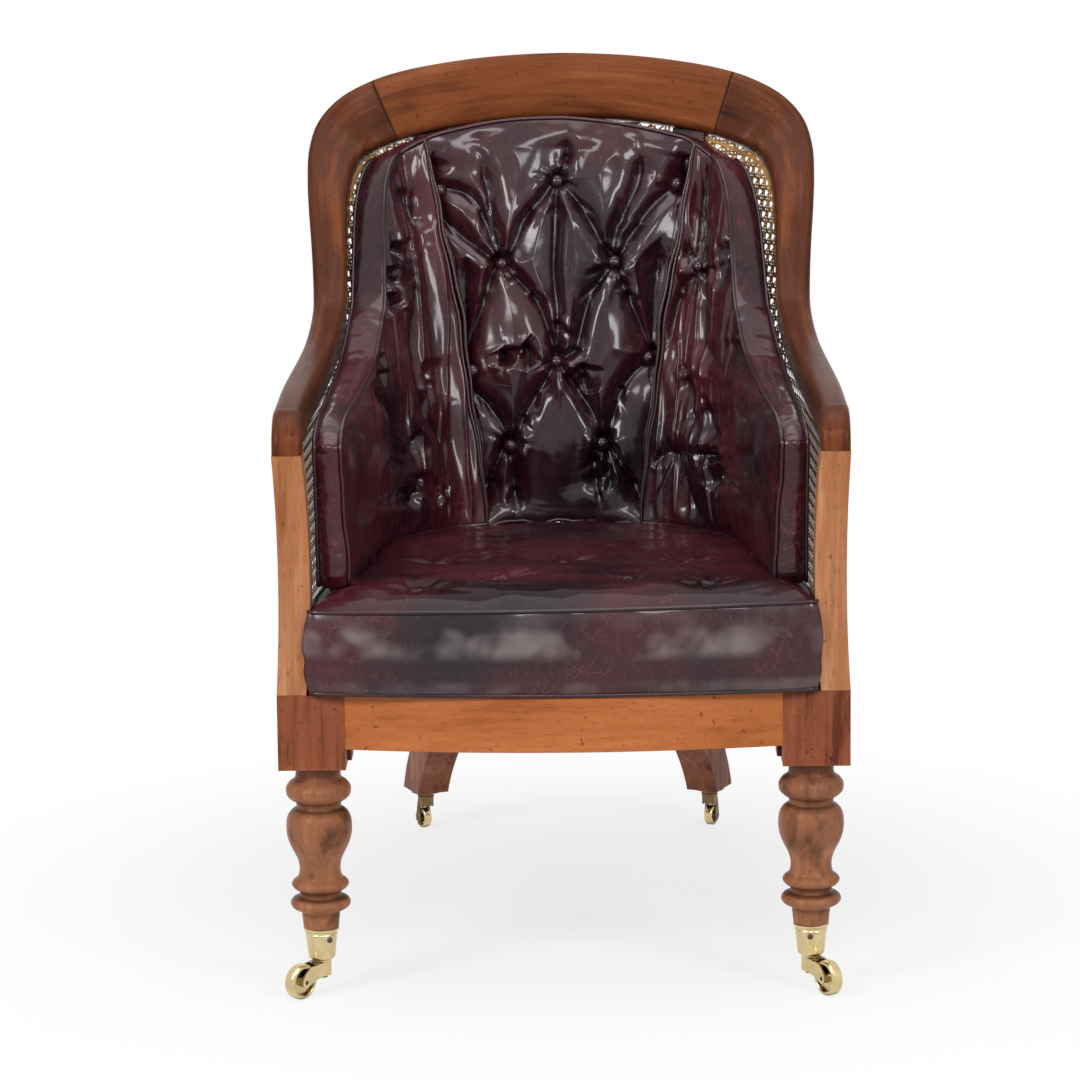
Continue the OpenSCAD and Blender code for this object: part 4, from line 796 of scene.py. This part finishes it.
LEFT_CREASES = [
    [(395, 177), (412, 210), (419, 237)], [(392, 241), (405, 265)], [(382, 260), (397, 280), (406, 297)],
    [(380, 290), (395, 302), (404, 312)],
    [(421, 260), (416, 300), (416, 345), (425, 405), (444, 442), (445, 480), (450, 527)],
    [(370, 330), (385, 367), (384, 392), (397, 417), (400, 455), (402, 480), (411, 517)],
    [(420, 340), (432, 385), (432, 412)], [(400, 457), (417, 450), (425, 415)],
    [(402, 475), (412, 495), (415, 515)], [(415, 505), (427, 467)],
]
RIGHT_CREASES = [
    [(699, 260), (700, 230), (700, 200), (710, 162)], [(692, 265), (680, 240), (677, 212)],
    [(692, 277), (680, 290), (667, 330), (665, 355)],
    [(701, 280), (700, 317), (700, 342), (710, 360), (710, 392)],
    [(742, 237), (725, 252), (717, 280), (714, 305)], [(737, 330), (735, 355), (745, 377)],
    [(680, 355), (690, 405), (692, 442)], [(705, 392), (707, 425), (725, 452)], [(690, 452), (725, 460)],
    [(650, 465), (675, 455), (690, 505), (710, 540)], [(712, 495), (715, 475), (725, 465)],
]
RIGHT_BUTTONS = [(699, 267)]


# ---- pads: an outer and an inner sheet, the boxing between them, and piping on both edges

PIPING_R = 2.3
PIPING_STEP = 3.6  # the least distance between the cord's rings
BULGE = 5.0        # how far the sewn boxing swells
WALLS = 7          # rows of points between a pad's two sheets


def edge_loop(nu, nv):
    """Grid places round the edge of a sheet of nu by nv points."""
    return ([(i, 0) for i in range(nu)] + [(nu - 1, j) for j in range(1, nv)]
            + [(i, nv - 1) for i in range(nu - 2, -1, -1)] + [(0, j) for j in range(nv - 2, 0, -1)])


def tube(name, points, outward, sides=8):
    """Piping: a closed round cord laid along a line of points, pushed a little outwards."""
    keep, run = [0], 0.0
    for i in range(1, len(points)):
        run += np.linalg.norm(points[i] - points[i - 1])
        if run > PIPING_STEP:
            keep.append(i)
            run = 0.0
    p, o = points[keep], outward[keep]
    along = units(np.roll(p, -1, axis=0) - np.roll(p, 1, axis=0))
    o = units(o - along * np.sum(o * along, axis=1)[:, None])
    third = np.cross(along, o)
    turns = 2 * math.pi * np.arange(sides) / sides
    ring = o[:, None] * np.cos(turns)[:, None] + third[:, None] * np.sin(turns)[:, None]
    verts = (p + o * PIPING_R * 0.45)[:, None] + ring * PIPING_R
    n = len(p)
    faces = grid_faces(n, sides, closed_v=True)
    end = (n - 1) * sides
    faces += [(end + k, end + (k + 1) % sides, (k + 1) % sides, k) for k in range(sides)]
    mesh_object(name, verts, faces, PIPING)


def pad(name, node, inner, outer, crease_shade, material, seed, flip=False, ripple=1.2, front=BULGE):
    """A closed pad from two sheets of points in millimetres; front is the bulge of its first edge."""
    nu, nv, _ = inner.shape
    loop = edge_loop(nu, nv)
    ii, jj = np.array(loop).T
    beside = np.clip(ii, 3, nu - 4), np.clip(jj, 3, nv - 4)
    a, b = inner[ii, jj], outer[ii, jj]
    out_in, out_out = units(a - inner[beside]), units(b - outer[beside])
    outward = units(out_in + out_out)
    run = lengths(a)
    swell = mix(BULGE, front, (ii == 0) * ease(np.minimum(jj, nv - 1 - jj) / 12))
    verts = [inner.reshape(-1, 3), outer.reshape(-1, 3)]
    for k in range(1, WALLS + 1):
        t = k / (WALLS + 1)
        wave = swell * math.sin(math.pi * t) ** 0.8 * (1 + 0.35 * cloudy(run / 38, t * 2.0, seed))
        wave += ripple * swell / BULGE * cloudy(run / 12, t * 1.7, seed + 9, 2) * math.sin(math.pi * t)
        verts.append(mix(a, b, t) + outward * wave[:, None])
    n, m = nu * nv, len(loop)
    faces = grid_faces(nu, nv, flip=flip) + grid_faces(nu, nv, flip=not flip, start=n)
    rows = ([[i * nv + j for i, j in loop]] + [[2 * n + k * m + q for q in range(m)] for k in range(WALLS)]
            + [[n + i * nv + j for i, j in loop]])
    for upper, lower in zip(rows[:-1], rows[1:]):
        for q in range(m):
            w = (q + 1) % m
            face = (upper[q], lower[q], lower[w], upper[w])
            faces.append(face if flip else face[::-1])
    verts = np.vstack(verts)
    obj = mesh_object(name, verts, faces, material, replaced=node)
    point_attribute(obj, "crease_shade", np.concatenate([crease_shade.ravel(), np.zeros(len(verts) - n)]))
    tube(name + "_inner_piping", a, out_in + units(a - b) * 0.5)
    tube(name + "_outer_piping", b, out_out + units(b - a) * 0.2)


def grid(nu, nv):
    return np.meshgrid(np.linspace(0, 1, nu), np.linspace(0, 1, nv), indexing="ij")


def drawn(u, v):
    """The sheet's sides, drawn in a little halfway up."""
    return 0.5 + (u - 0.5) * (1 - 0.02 * (1 - (2 * v - 1) ** 2))


def inside(u, v, margin_u, margin_v):
    """Nought on a sheet's edges, and 1 from the margins inwards."""
    return ease(np.minimum(np.minimum(u, 1 - u) / margin_u, np.minimum(v, 1 - v) / margin_v))


BUTTON_OUT = 3.6  # how far a button's middle stands out of the leather
BUTTON_REACH = 8  # grid steps round a button from which the leather's slope is taken
BUTTON_SIDES = 28
PLEATS = 7
# The dome's rings from the back to the front, as shares of the radius and of the height
BUTTON_DOME = [(0.62, -0.75), (0.86, -0.5), (0.97, -0.22), (1.0, 0.0), (0.98, 0.22), (0.90, 0.46),
               (0.74, 0.70), (0.52, 0.87), (0.27, 0.97)]


def covered_button(name, sheet, spot, radius, high, node=None):
    """A small domed button, pulled down into the leather where the sheet shows it in the frame."""
    away = np.hypot(*np.moveaxis(image_point(sheet) - spot, -1, 0))
    i, j = np.unravel_index(np.argmin(away), away.shape)
    n = BUTTON_REACH
    i = min(max(i, n + 1), sheet.shape[0] - n - 2)
    j = min(max(j, n + 1), sheet.shape[1] - n - 2)
    axis = unit(np.cross(sheet[i + n, j] - sheet[i - n, j], sheet[i, j + n] - sheet[i, j - n]))
    if axis[1] > 0:
        axis = -axis
    axis = unit(axis * 0.6 + np.array((0, -1, 0.12)) * 0.4)
    side = unit(np.cross(axis, (0, 0, 1)))
    third = np.cross(axis, side)
    base = sheet[i, j] + axis * BUTTON_OUT
    count, rows = BUTTON_SIDES, len(BUTTON_DOME)
    verts = []
    for r, h in BUTTON_DOME:
        for k in range(count):
            a = 2 * math.pi * k / count
            pleat = 1 + 0.025 * math.sin(PLEATS * a) * (1 if h < 0.5 else 0.3)
            verts.append(base + axis * h * high
                         + (side * math.cos(a) + third * math.sin(a)) * r * radius * pleat)
    verts.append(base + axis * high)
    faces = grid_faces(rows, count, flip=True, closed_v=True)
    last = (rows - 1) * count
    faces += [(last + (k + 1) % count, last + k, rows * count) for k in range(count)]
    faces.append(tuple(range(count)))
    mesh_object(name, verts, faces, PIPING, replaced=node)


SHEET_RISE = BINDING_T * 5  # the inner sheet's upper edge stands this much higher than the outer's
OUTER_DEPTH = 1.0           # from the cane to the outer sheet
SEAM_GAP = 0.03             # half the gap between the back and side squabs, in stations


def back_squab():
    """One sheet pair from side to side; v runs from the top to the foot."""
    u, v = grid(250, 290)
    across = 2 * drawn(u, v) - 1
    right = ease(across * 1.5 + 0.5)
    s = mix(S_END, mitre(v) + SEAM_GAP, np.abs(across))
    top = squab_top(s, right)[..., 2] - 3 * REST_GAP

    def sheet(depth, rise, waves):
        low = seat_level(squab_point(s, seat_level(ARC_Y), depth, right)[..., 1]) + REST_GAP + waves
        p = squab_point(s, mix(top + rise, low, v), depth, right)
        p[..., 0] *= np.where(across < 0, -1.0, 1.0)
        return p

    wave = ease((v - 0.86) / 0.14) * (4.0 * cloudy(u * 9, 0, 21) - 2.0)
    crown = hump(u) * hump(v)
    at = image_point(sheet(BACK_T + BACK_CROWN * crown, SHEET_RISE, wave))
    height, crease_shade = crease_field(at.reshape(-1, 2), BACK_CREASES, BACK_BUTTONS, 11, pillow=21.0, spread=22.0,
                                ridge=3.4, dimple=13.0, fine=1.2)
    rest = inside(u, v, 0.02, 0.035)
    height = height.reshape(u.shape) * mix(0.35, 1.0, ease(np.minimum(v, 1 - v) / 0.10))
    soft = 3.0 * cloudy(at[..., 0] / 30, at[..., 1] / 70, 31, 2)
    crinkle = 0.5 * cloudy(at[..., 0] / 14, at[..., 1] / 28, 33, 2)
    depth = np.maximum(BACK_T + (BACK_CROWN + 3) * crown + (height + soft + crinkle) * rest, LEAST_DEPTH)
    inner = sheet(depth, SHEET_RISE, wave)
    pad("back_squab_leather", "back_squab", inner, sheet(np.full(u.shape, OUTER_DEPTH), 0.0, 0.0),
        crease_shade.reshape(u.shape) * rest, LEATHER, seed=41)
    for k, spot in enumerate(BACK_BUTTONS):
        covered_button("back_button_%02d" % (k + 1), inner, spot, 8.6, 6.6, "squab_buttons")


SIDE_DROP = ARM_H - BEND_R / 4 - SIDE_SQUAB_H
FRONT_DROP, FRONT_THIN, FOOT_THICK = 17, 12, 7  # the rounded front corner, and the thinner front edge
# Per side: the name, creases, buttons, and the seeds of the creases, folds, swell, thickness and pad
SIDES = {-1: ("left_side_squab", LEFT_CREASES, [], 17, 51, 56, 59, 61),
         1: ("right_side_squab", RIGHT_CREASES, RIGHT_BUTTONS, 19, 53, 58, 60, 64)}


def side_squab(side):
    """One sheet pair from the front to the mitre; side is -1 on the left and 1 on the right."""
    name, lines, buttons, crease_seed, soft_seed, fold_seed, thick_seed, pad_seed = SIDES[side]
    u, v = grid(280, 140)
    s = mix(TURN_STEPS + 0.15, mitre(v) - SEAM_GAP, drawn(u, v))
    right = 1.0 if side > 0 else 0.0
    top = squab_top(s, right)[..., 2]
    top = top - mix(SIDE_DROP, 3 * REST_GAP, np.clip((top - ARM_H) / ARM_T, 0, 1))
    top = top - FRONT_DROP * np.clip(1 - u / 0.10, 0, 1) ** 2.2

    def sheet(depth, rise):
        low = seat_level(squab_point(s, seat_level(0.0), depth, right)[..., 1]) + REST_GAP - 2
        p = squab_point(s, mix(top + rise, low, v), depth, right)
        return p * (side, 1, 1)

    thick = mix(SIDE_T, BACK_T, u * u) - (FRONT_THIN - FOOT_THICK * v) * (1 - ease(u / 0.35))
    thick = thick + 2.2 * cloudy(v * 4.0, 0, thick_seed, 2) * (1 - ease(u / 0.12))
    crown = hump(u) * hump(v)
    lift = SHEET_RISE * ease(3 * u - 1)
    at = image_point(sheet(thick + SIDE_CROWN * crown, lift)).reshape(-1, 2)
    height, crease_shade = crease_field(at, lines, buttons, crease_seed, pillow=14.0, spread=18.0, ridge=4.0,
                                dimple=8.0, fine=1.1)
    rest = inside(u, v, 0.03, 0.05)
    soft = 3.4 * cloudy(u * 11 + side, v * 2.6, soft_seed, 2)
    folds = 1 - np.abs(cloudy(u * 12 + v * 2.4, v * 1.8 - u, fold_seed, 2)) * 2.2
    soft = soft + 3.2 * np.clip(folds, 0, 1) ** 2 * ease(u / 0.25) + 0.5 * cloudy(u * 26, v * 10, 55, 2)
    depth = thick + (SIDE_CROWN + 2) * crown + (height.reshape(u.shape) + soft) * rest
    inner = sheet(np.maximum(depth, LEAST_DEPTH), lift)
    pad(name + "_leather", name, inner, sheet(np.full(u.shape, OUTER_DEPTH), 0.0),
        crease_shade.reshape(u.shape) * rest, SIDE_LEATHER, pad_seed, flip=side > 0, ripple=1.5, front=9.0)
    for spot in buttons:
        covered_button(name + "_button", inner, spot, 7.0, 5.4)


# ---- the seat squab: rings round a middle point

LAP_SHARES = (0.2, 0.23, 0.27, 0.58)  # where the front, corner, neck and straight side end
SEAT_FRONT_Y = FRONT_Y - SQUAB_EDGE / 2
SEAT_SIDE_X = HALF_W - SUPPORT_W - 1.1 * SUPPORT_BOW - 2 * REST_GAP
SEAT_BULGE_X = SEAT_SIDE_X + SUPPORT_BOW / 2
SEAT_NECK_Y = FRONT_Y + 1.6 * SQUAB_EDGE  # behind it the squab is as narrow as between the supports


def half_lap(h):
    """The right half of the seat squab's edge in plan, h from 0 at the front to 1 at the back."""
    def part(k):
        return (h - LAP_SHARES[k - 1]) / (LAP_SHARES[k] - LAP_SHARES[k - 1])
    if h < LAP_SHARES[0]:
        k = h / LAP_SHARES[0]
        return (SEAT_BULGE_X * k - SQUAB_EDGE / 3 * k ** 12,
                SEAT_FRONT_Y - (FRONT_BOW - SQUAB_EDGE / 2) * (1 - k * k) + SQUAB_EDGE / 4 * k ** 12)
    if h < LAP_SHARES[1]:
        return (SEAT_BULGE_X, SEAT_FRONT_Y + SQUAB_EDGE / 4 + part(1) * SQUAB_EDGE / 4)
    if h < LAP_SHARES[2]:
        e = float(ease(part(2)))
        return (mix(SEAT_BULGE_X, SEAT_SIDE_X, e), mix(SEAT_FRONT_Y + SQUAB_EDGE / 2, SEAT_NECK_Y, e))
    if h < LAP_SHARES[3]:
        y = mix(SEAT_NECK_Y, ARC_Y, part(3))
        return (min(SEAT_SIDE_X, plan_x(y, SEAT_IN)), y)
    g = mix(TAPER, 90, (h - LAP_SHARES[3]) / (1 - LAP_SHARES[3]))
    return tuple(plan_arc(squab_in(g), g))


SEAT_TUFTS = [(70, 84), (-70, 84), (0, 214), (155, 15), (-155, 15), (140, 214), (-140, 214)]
SEAT_MIDDLE = np.array((0, SEAT_R / 2))
SEAT_BOTTOM = SEAT_H + REST_GAP
LAP_POINTS, LAP_RINGS, LAP_WALLS = 420, 96, 26


def seat_lap():
    """The squab's whole edge in plan, and the outward direction at each of its points."""
    shares = np.arange(LAP_POINTS) / LAP_POINTS
    half = [half_lap(2 * t if t < 0.5 else 2 - 2 * t) for t in shares]
    lap = np.array([(x if t < 0.5 else -x, y) for t, (x, y) in zip(shares, half)])
    tangent = np.roll(lap, -1, axis=0) - np.roll(lap, 1, axis=0)
    normal = units(np.stack([tangent[:, 1], -tangent[:, 0]], axis=-1))
    outwards = np.sum(normal * (lap - SEAT_MIDDLE), axis=1) > 0
    return lap, np.where(outwards[:, None], normal, -normal)


def seat_folds(at):
    """How far the top is drawn down at each place by its tufts and the folds round them, and the painted
    shade at the tufts.
    """
    lines, r = [], random.Random(5)
    for tuft in SEAT_TUFTS:
        start = r.uniform(0, 40)
        for k in range(RAYS):
            a = math.radians(start + 360 / RAYS * k + r.uniform(-10, 10))
            far, bend = r.uniform(38, 84), r.uniform(-0.3, 0.3)
            lines.append(stroke(tuft, a, bend, far, (0.05, 0.5, 1.0)))
    drop, crease_shade = np.zeros(len(at)), np.zeros(len(at))
    for line in lines:
        d, side, run = line_distance(at, curved(line, 3))
        power = 1 - ease(run)
        drop += 4.2 * power * np.exp(-(d / 5.5) ** 2) - 2.0 * power * np.exp(-((d * side - 10) / 7.0) ** 2)
    for tuft in SEAT_TUFTS:
        d = np.hypot(*(at - tuft).T)
        drop += 13.0 * np.exp(-(d / 28) ** 1.4)
        crease_shade = np.maximum(crease_shade, 0.6 * np.exp(-(d / 7) ** 2))
    return drop, crease_shade


def seat_top(lap):
    """The top sheet as rings from the edge to the middle, and the painted shade at its tufts."""
    reach = np.linalg.norm(lap - SEAT_MIDDLE, axis=1)
    share = 1 - np.linspace(0, 1, LAP_RINGS + 1)[:-1] ** 1.12
    flat = SEAT_MIDDLE + (lap - SEAT_MIDDLE)[None] * share[:, None, None]
    inset = (1 - share)[:, None] * reach[None]
    x, y = flat[..., 0], flat[..., 1]
    z = seat_level(y) - SQUAB_CROWN * (1 - np.clip(inset / 60, 0, 1)) ** 2.6
    z = z + 4.0 * x / HALF_W * ease((120 - y) / 120)
    drop, crease_shade = seat_folds(flat.reshape(-1, 2))
    z = z - drop.reshape(z.shape) * ease(inset / 30)
    z = z + (3.4 * cloudy(x / 52, y / 38, 71, 2) + 0.6 * cloudy(x / 20, y / 16, 73, 2)) * ease(inset / 22)
    return np.stack([x, y, z], axis=-1), crease_shade


def boxing_bulge(run, t):
    """How far the boxing stands out, t of the way down it: swell, waves, a low hollow, gathers and dents."""
    if t == 1:
        return np.zeros(len(run))
    swell = 9.0 * math.sin(math.pi * t ** 0.9) ** 0.85
    wave = 3.0 * cloudy(run / 34, t * 2.0, 81, 2) + 1.5 * cloudy(run / 13, t * 1.6, 83, 2)
    hollow = np.exp(-((t - 0.60 - 0.06 * np.sin(run / 70)) / 0.10) ** 2) * (0.6 + 0.4 * np.sin(run / 90 + 1))
    gather = np.exp(-(t / 0.40) ** 2) * ease(lattice(run / 11, run * 0, 85) * 3 - 1.3)
    gather = np.convolve(np.concatenate([gather[-2:], gather, gather[:2]]), np.ones(5) / 5, "valid")
    dent = np.clip(lattice(run / 26, run * 0 + t * 3.1, 87) - 0.66, 0, 1) / 0.34
    uneven = wave - 2.6 * hollow - 2.2 * gather - 3.2 * dent
    return swell + uneven * math.sin(math.pi * t) ** 0.6


def seat_squab():
    """Rings round a middle point, the boxing's walls, and a flat bottom."""
    lap, outward = seat_lap()
    top, crease_shade = seat_top(lap)
    n, hub = LAP_POINTS, LAP_RINGS * LAP_POINTS
    loose = mix(1.0, 0.15, ease((lap[:, 1] - 60.0) / 90.0))  # the boxing swells at the front alone
    run = lengths(lap)
    verts = [top.reshape(-1, 3), [(*SEAT_MIDDLE, top[-1, :, 2].mean())]]
    for k in range(1, LAP_WALLS + 1):
        t = k / LAP_WALLS
        ring = lap + outward * (boxing_bulge(run, t) * loose)[:, None]
        verts.append(np.column_stack([ring, mix(top[0, :, 2], SEAT_BOTTOM, t)]))
    verts = np.vstack([*verts, [(*SEAT_MIDDLE, SEAT_BOTTOM)]])
    faces = grid_faces(LAP_RINGS, n, closed_v=True)
    faces += [(hub - n + k, hub - n + (k + 1) % n, hub) for k in range(n)]
    rows = [list(range(n))] + [[hub + 1 + k * n + q for q in range(n)] for k in range(LAP_WALLS)]
    for row, below in zip(rows[:-1], rows[1:]):
        faces += [(row[(q + 1) % n], row[q], below[q], below[(q + 1) % n]) for q in range(n)]
    faces += [(rows[-1][(q + 1) % n], rows[-1][q], len(verts) - 1) for q in range(n)]
    obj = mesh_object("seat_squab_leather", verts, faces, SEAT_TOP_LEATHER, replaced="seat_squab")
    obj.data.materials.append(BOXING_LEATHER)
    for face in obj.data.polygons[hub:]:
        face.material_index = 1
    point_attribute(obj, "crease_shade", np.concatenate([crease_shade, np.zeros(len(verts) - hub)]))
    tube("seat_squab_top_piping", top[0], np.column_stack([outward, np.full(n, 0.55)]))
    tube("seat_squab_bottom_piping", np.column_stack([lap, np.full(n, SEAT_BOTTOM + 2.4)]),
         np.column_stack([outward, np.zeros(n)]))


seat_squab()
back_squab()
side_squab(-1)
side_squab(1)


# ---- the woven cane: pairs of strands up and across, and single diagonals both ways

PITCH, PAIR, STRAND, DIAGONAL = 12.5, 3.4, 2.3, 2.1
UP, ACROSS, SLANT = 0.35, -0.35, 0.75  # how far each kind of strand lies off the panel
PANEL_TOP = np.array([sum(strip_points(k)) / 2 for k in range(len(FINE))])
PANEL_FOOT = np.array([(*foot(k, CANE_IN), SEAT_H) for k in range(len(FINE))])


def panel_point(s, z):
    """A point in the middle of the cane, on the column at s and at height z."""
    top, low = at_station(PANEL_TOP, s), at_station(PANEL_FOOT, s)
    return top + (low - top) * ((top[..., 2] - z) / (top[..., 2] - low[..., 2]))[..., None]


class Ribbons:
    """Flat strands gathered into one mesh."""

    def __init__(self):
        self.verts, self.faces = [], []

    def add(self, points, normals, width, lift):
        middle = points + normals * lift
        half = units(np.cross(units(np.gradient(points, axis=0)), normals)) * width / 2
        crown = normals * 0.22
        for ring in zip(middle - half, middle + crown, middle + half, middle - crown):
            self.verts += ring
        start = len(self.verts) - 4 * len(points)
        for a in range(start, len(self.verts) - 4, 4):
            self.faces += [(a + k, a + (k + 1) % 4, a + 4 + (k + 1) % 4, a + 4 + k) for k in range(4)]

    def mirrored(self):
        other = Ribbons()
        other.verts = [v * (-1, 1, 1) for v in self.verts]
        other.faces = [f[::-1] for f in self.faces]
        return other

    def build(self, name, replaced):
        mesh_object(name, self.verts, self.faces, CANE, smooth=False, replaced=replaced)


def normal_at(s, z):
    a = panel_point(s + 0.05, z) - panel_point(s - 0.05, z)
    b = panel_point(s, z + 4) - panel_point(s, z - 4)
    return units(np.cross(b, a))


def runs(mask):
    """The first and last index of each stretch in which the mask is true."""
    edges = np.flatnonzero(np.diff(np.concatenate(([0], mask.astype(int), [0]))))
    return zip(edges[::2], edges[1::2] - 1)


def paired(first, last):
    """Places of the paired strands between two limits."""
    return [c + off for c in np.arange(first, last, PITCH) for off in (0, PAIR)]


def weave_panel(s0, s1, gap):
    """Strands over the ruled panel between s0 and s1, on one side of the stile's plane: in front of it
    by the gap, or behind it where the gap is below nought."""
    out = Ribbons()
    ss = np.linspace(s0, s1, 900)
    run = lengths(panel_point(ss, 520.0))  # along the panel at about the middle of its height
    tops = at_station(PANEL_TOP, ss)[:, 2]
    parts = 6  # each step is tried in parts, so that a strand ends close to the edge

    def strand(w, z, lift, width=STRAND):
        w, z = np.broadcast_arrays(w, z)
        at = np.arange((len(w) - 1) * parts + 1) / parts
        w, z = np.interp(at, range(len(w)), w), np.interp(at, range(len(z)), z)
        s = np.interp(w, run, ss)
        ok = (w >= 0) & (w <= run[-1]) & (z > SEAT_H + 1) & (z < np.interp(s, ss, tops) - 1.0)
        ok &= plane_x(panel_point(s, z).T) * np.sign(gap) > abs(gap)
        for first, last in runs(ok):
            keep = [first] + [i for i in range(first + 2, last - 1) if i % parts == 0] + [last]
            if last > first:
                out.add(panel_point(s[keep], z[keep]), normal_at(s[keep], z[keep]), width, lift)

    for w in paired(4, run[-1]):
        strand(w, np.arange(SEAT_H, CREST_H, 7.0), UP)
    for z in paired(SEAT_H + 5, CREST_H):
        strand(np.arange(0, run[-1], 6.0), z, ACROSS)
    z = np.arange(SEAT_H, CREST_H, 6.0)
    for c in np.arange(-CREST_H, run[-1] + CREST_H, PITCH):
        strand(c + PAIR / 2 + (z - SEAT_H), z, SLANT, DIAGONAL)
        strand(c + PAIR / 2 + 5 - (z - SEAT_H), z, -SLANT, DIAGONAL)
    return out


side_weave = weave_panel(1.5, STILE_S + 1, LEG_W / 2 + 1)
side_weave.build("right_side_weave", "right_side_cane")
side_weave.mirrored().build("left_side_weave", "left_side_cane")
back_weave = weave_panel(STILE_S - 1, S_END, -LEG_W / 2 - 1)
other_half = back_weave.mirrored()
back_weave.faces += [tuple(len(back_weave.verts) + i for i in face) for face in other_half.faces]
back_weave.verts += other_half.verts
back_weave.build("back_weave", "back_cane")


SEAT_CANE_EDGE, SEAT_CANE_Z = 32.0, SEAT_H - 3.0


def seat_weave():
    """Flat weave in the rebate of the seat frame, cut out round the front blocks."""
    out = Ribbons()

    def strand(x, y, lift, width=STRAND):
        x, y = np.broadcast_arrays(x, y)
        ok = np.where(y > ARC_Y, np.hypot(x, y - ARC_Y) < SEAT_R - SEAT_CANE_EDGE,
                      np.abs(x) < plan_x(y, SEAT_CANE_EDGE))
        ok &= (y > -8) & ((np.abs(x) < HALF_W - BLOCK_W) | (y > 36))
        for first, last in runs(ok):
            if last > first:
                kept = slice(first, last + 1)
                p = np.column_stack([x[kept], y[kept], np.full(last - first + 1, SEAT_CANE_Z)])
                out.add(p, np.tile((0, 0, 1.0), (len(p), 1)), width, lift)

    line = np.arange(-320, 620, 9.0)
    for c in paired(-280, 290):
        strand(c, line, UP)
    for c in paired(-20, 570):
        strand(line, c, ACROSS)
    for c in np.arange(-900, 900, PITCH):
        strand(line, line + c, SLANT, DIAGONAL)
        strand(line, c - line, -SLANT, DIAGONAL)
    out.build("seat_weave", "seat_cane")


seat_weave()


# ---- camera, floor and light

camera_data = bpy.data.cameras.new("camera")
camera_data.lens = 135.27
camera_data.sensor_width = 36.0
camera_data.shift_x = -SHIFT / FRAME
camera = linked("camera", camera_data)
camera.matrix_world = (Matrix.Translation((0.0225, -4.641, 1.300))
                       @ Matrix.Rotation(math.radians(CAMERA_TURN), 4, "Z")
                       @ Matrix.Rotation(math.radians(90 - CAMERA_TIP), 4, "X")
                       @ Matrix.Rotation(math.radians(-CAMERA_ROLL), 4, "Z"))
bpy.context.scene.camera = camera
bpy.context.scene.view_settings.view_transform = "Standard"


FLOOR_REACH = 40  # metres
FLOOR_DROP = 0.0002


def floor():
    """A white floor that takes shadows near the chair and glows evenly white farther out."""
    n = Nodes(bpy.data.materials.new("studio_floor"))
    base = object_coordinates(n)
    far = n.new("ShaderNodeVectorMath", {0: base}, operation="LENGTH").outputs["Value"]
    n.set(Base_Color=(0.86, 0.872, 0.868, 1), Roughness=0.6, Specular_IOR_Level=0.2)
    glow = n.new("ShaderNodeEmission", {"Color": (1, 1, 1, 1), "Strength": 1.0})
    mixed = n.new("ShaderNodeMixShader", {0: n.range(far, 0.30, 0.95, 0.77, 1.0),
                                          1: n.shader.outputs[0], 2: glow.outputs[0]})
    out = next(x for x in n.tree.nodes if x.type == "OUTPUT_MATERIAL")
    n.tree.links.new(mixed.outputs[0], out.inputs[0])
    mesh = bpy.data.meshes.new("floor")
    corners = [(x * FLOOR_REACH, y * FLOOR_REACH, 0) for x, y in ((-1, -1), (1, -1), (1, 1), (-1, 1))]
    mesh.from_pydata(corners, [], [(0, 1, 2, 3)])
    mesh.materials.append(n.owner)
    obj = linked("floor", mesh)
    obj.location.z = -FLOOR_DROP


# Name, place, height of the target, width and height in metres, and watts
LAMPS = [("key_left", (-2.4, -2.6, 2.6), 0.6, 1.0, 1.3, 76),
         ("key_right", (2.4, -2.8, 2.4), 0.6, 0.95, 1.2, 56),
         ("front", (0.2, -3.3, 3.2), 0.5, 1.5, 0.7, 36),
         ("top", (0.0, -0.2, 3.4), 0.3, 2.2, 2.2, 46)]
DIM = 0.06  # the white surround's strength for rays that only bounce diffusely


def area_light(name, place, target, width, height, power):
    data = bpy.data.lights.new(name, "AREA")
    data.shape = "RECTANGLE"
    data.size, data.size_y = width, height
    data.energy = power
    obj = linked(name, data)
    obj.location = place
    obj.rotation_euler = (Vector((0, 0, target)) - Vector(place)).to_track_quat("-Z", "Y").to_euler()


def studio():
    """A surround that is plain white to the camera, in reflections and through holes, and dim elsewhere."""
    n = Nodes(bpy.data.worlds.new("studio"), "Background")
    paths = n.new("ShaderNodeLightPath").outputs
    seen = n.math("MAXIMUM", paths["Is Camera Ray"], paths["Is Glossy Ray"])
    seen = n.math("MAXIMUM", seen, paths["Is Transmission Ray"])
    level = n.new("ShaderNodeMapRange", {"Value": seen, "To Min": DIM, "To Max": 1.0}).outputs["Result"]
    n.set(Color=(1, 1, 1, 1), Strength=level)
    bpy.context.scene.world = n.owner
    for lamp in LAMPS:
        area_light(*lamp)


floor()
studio()
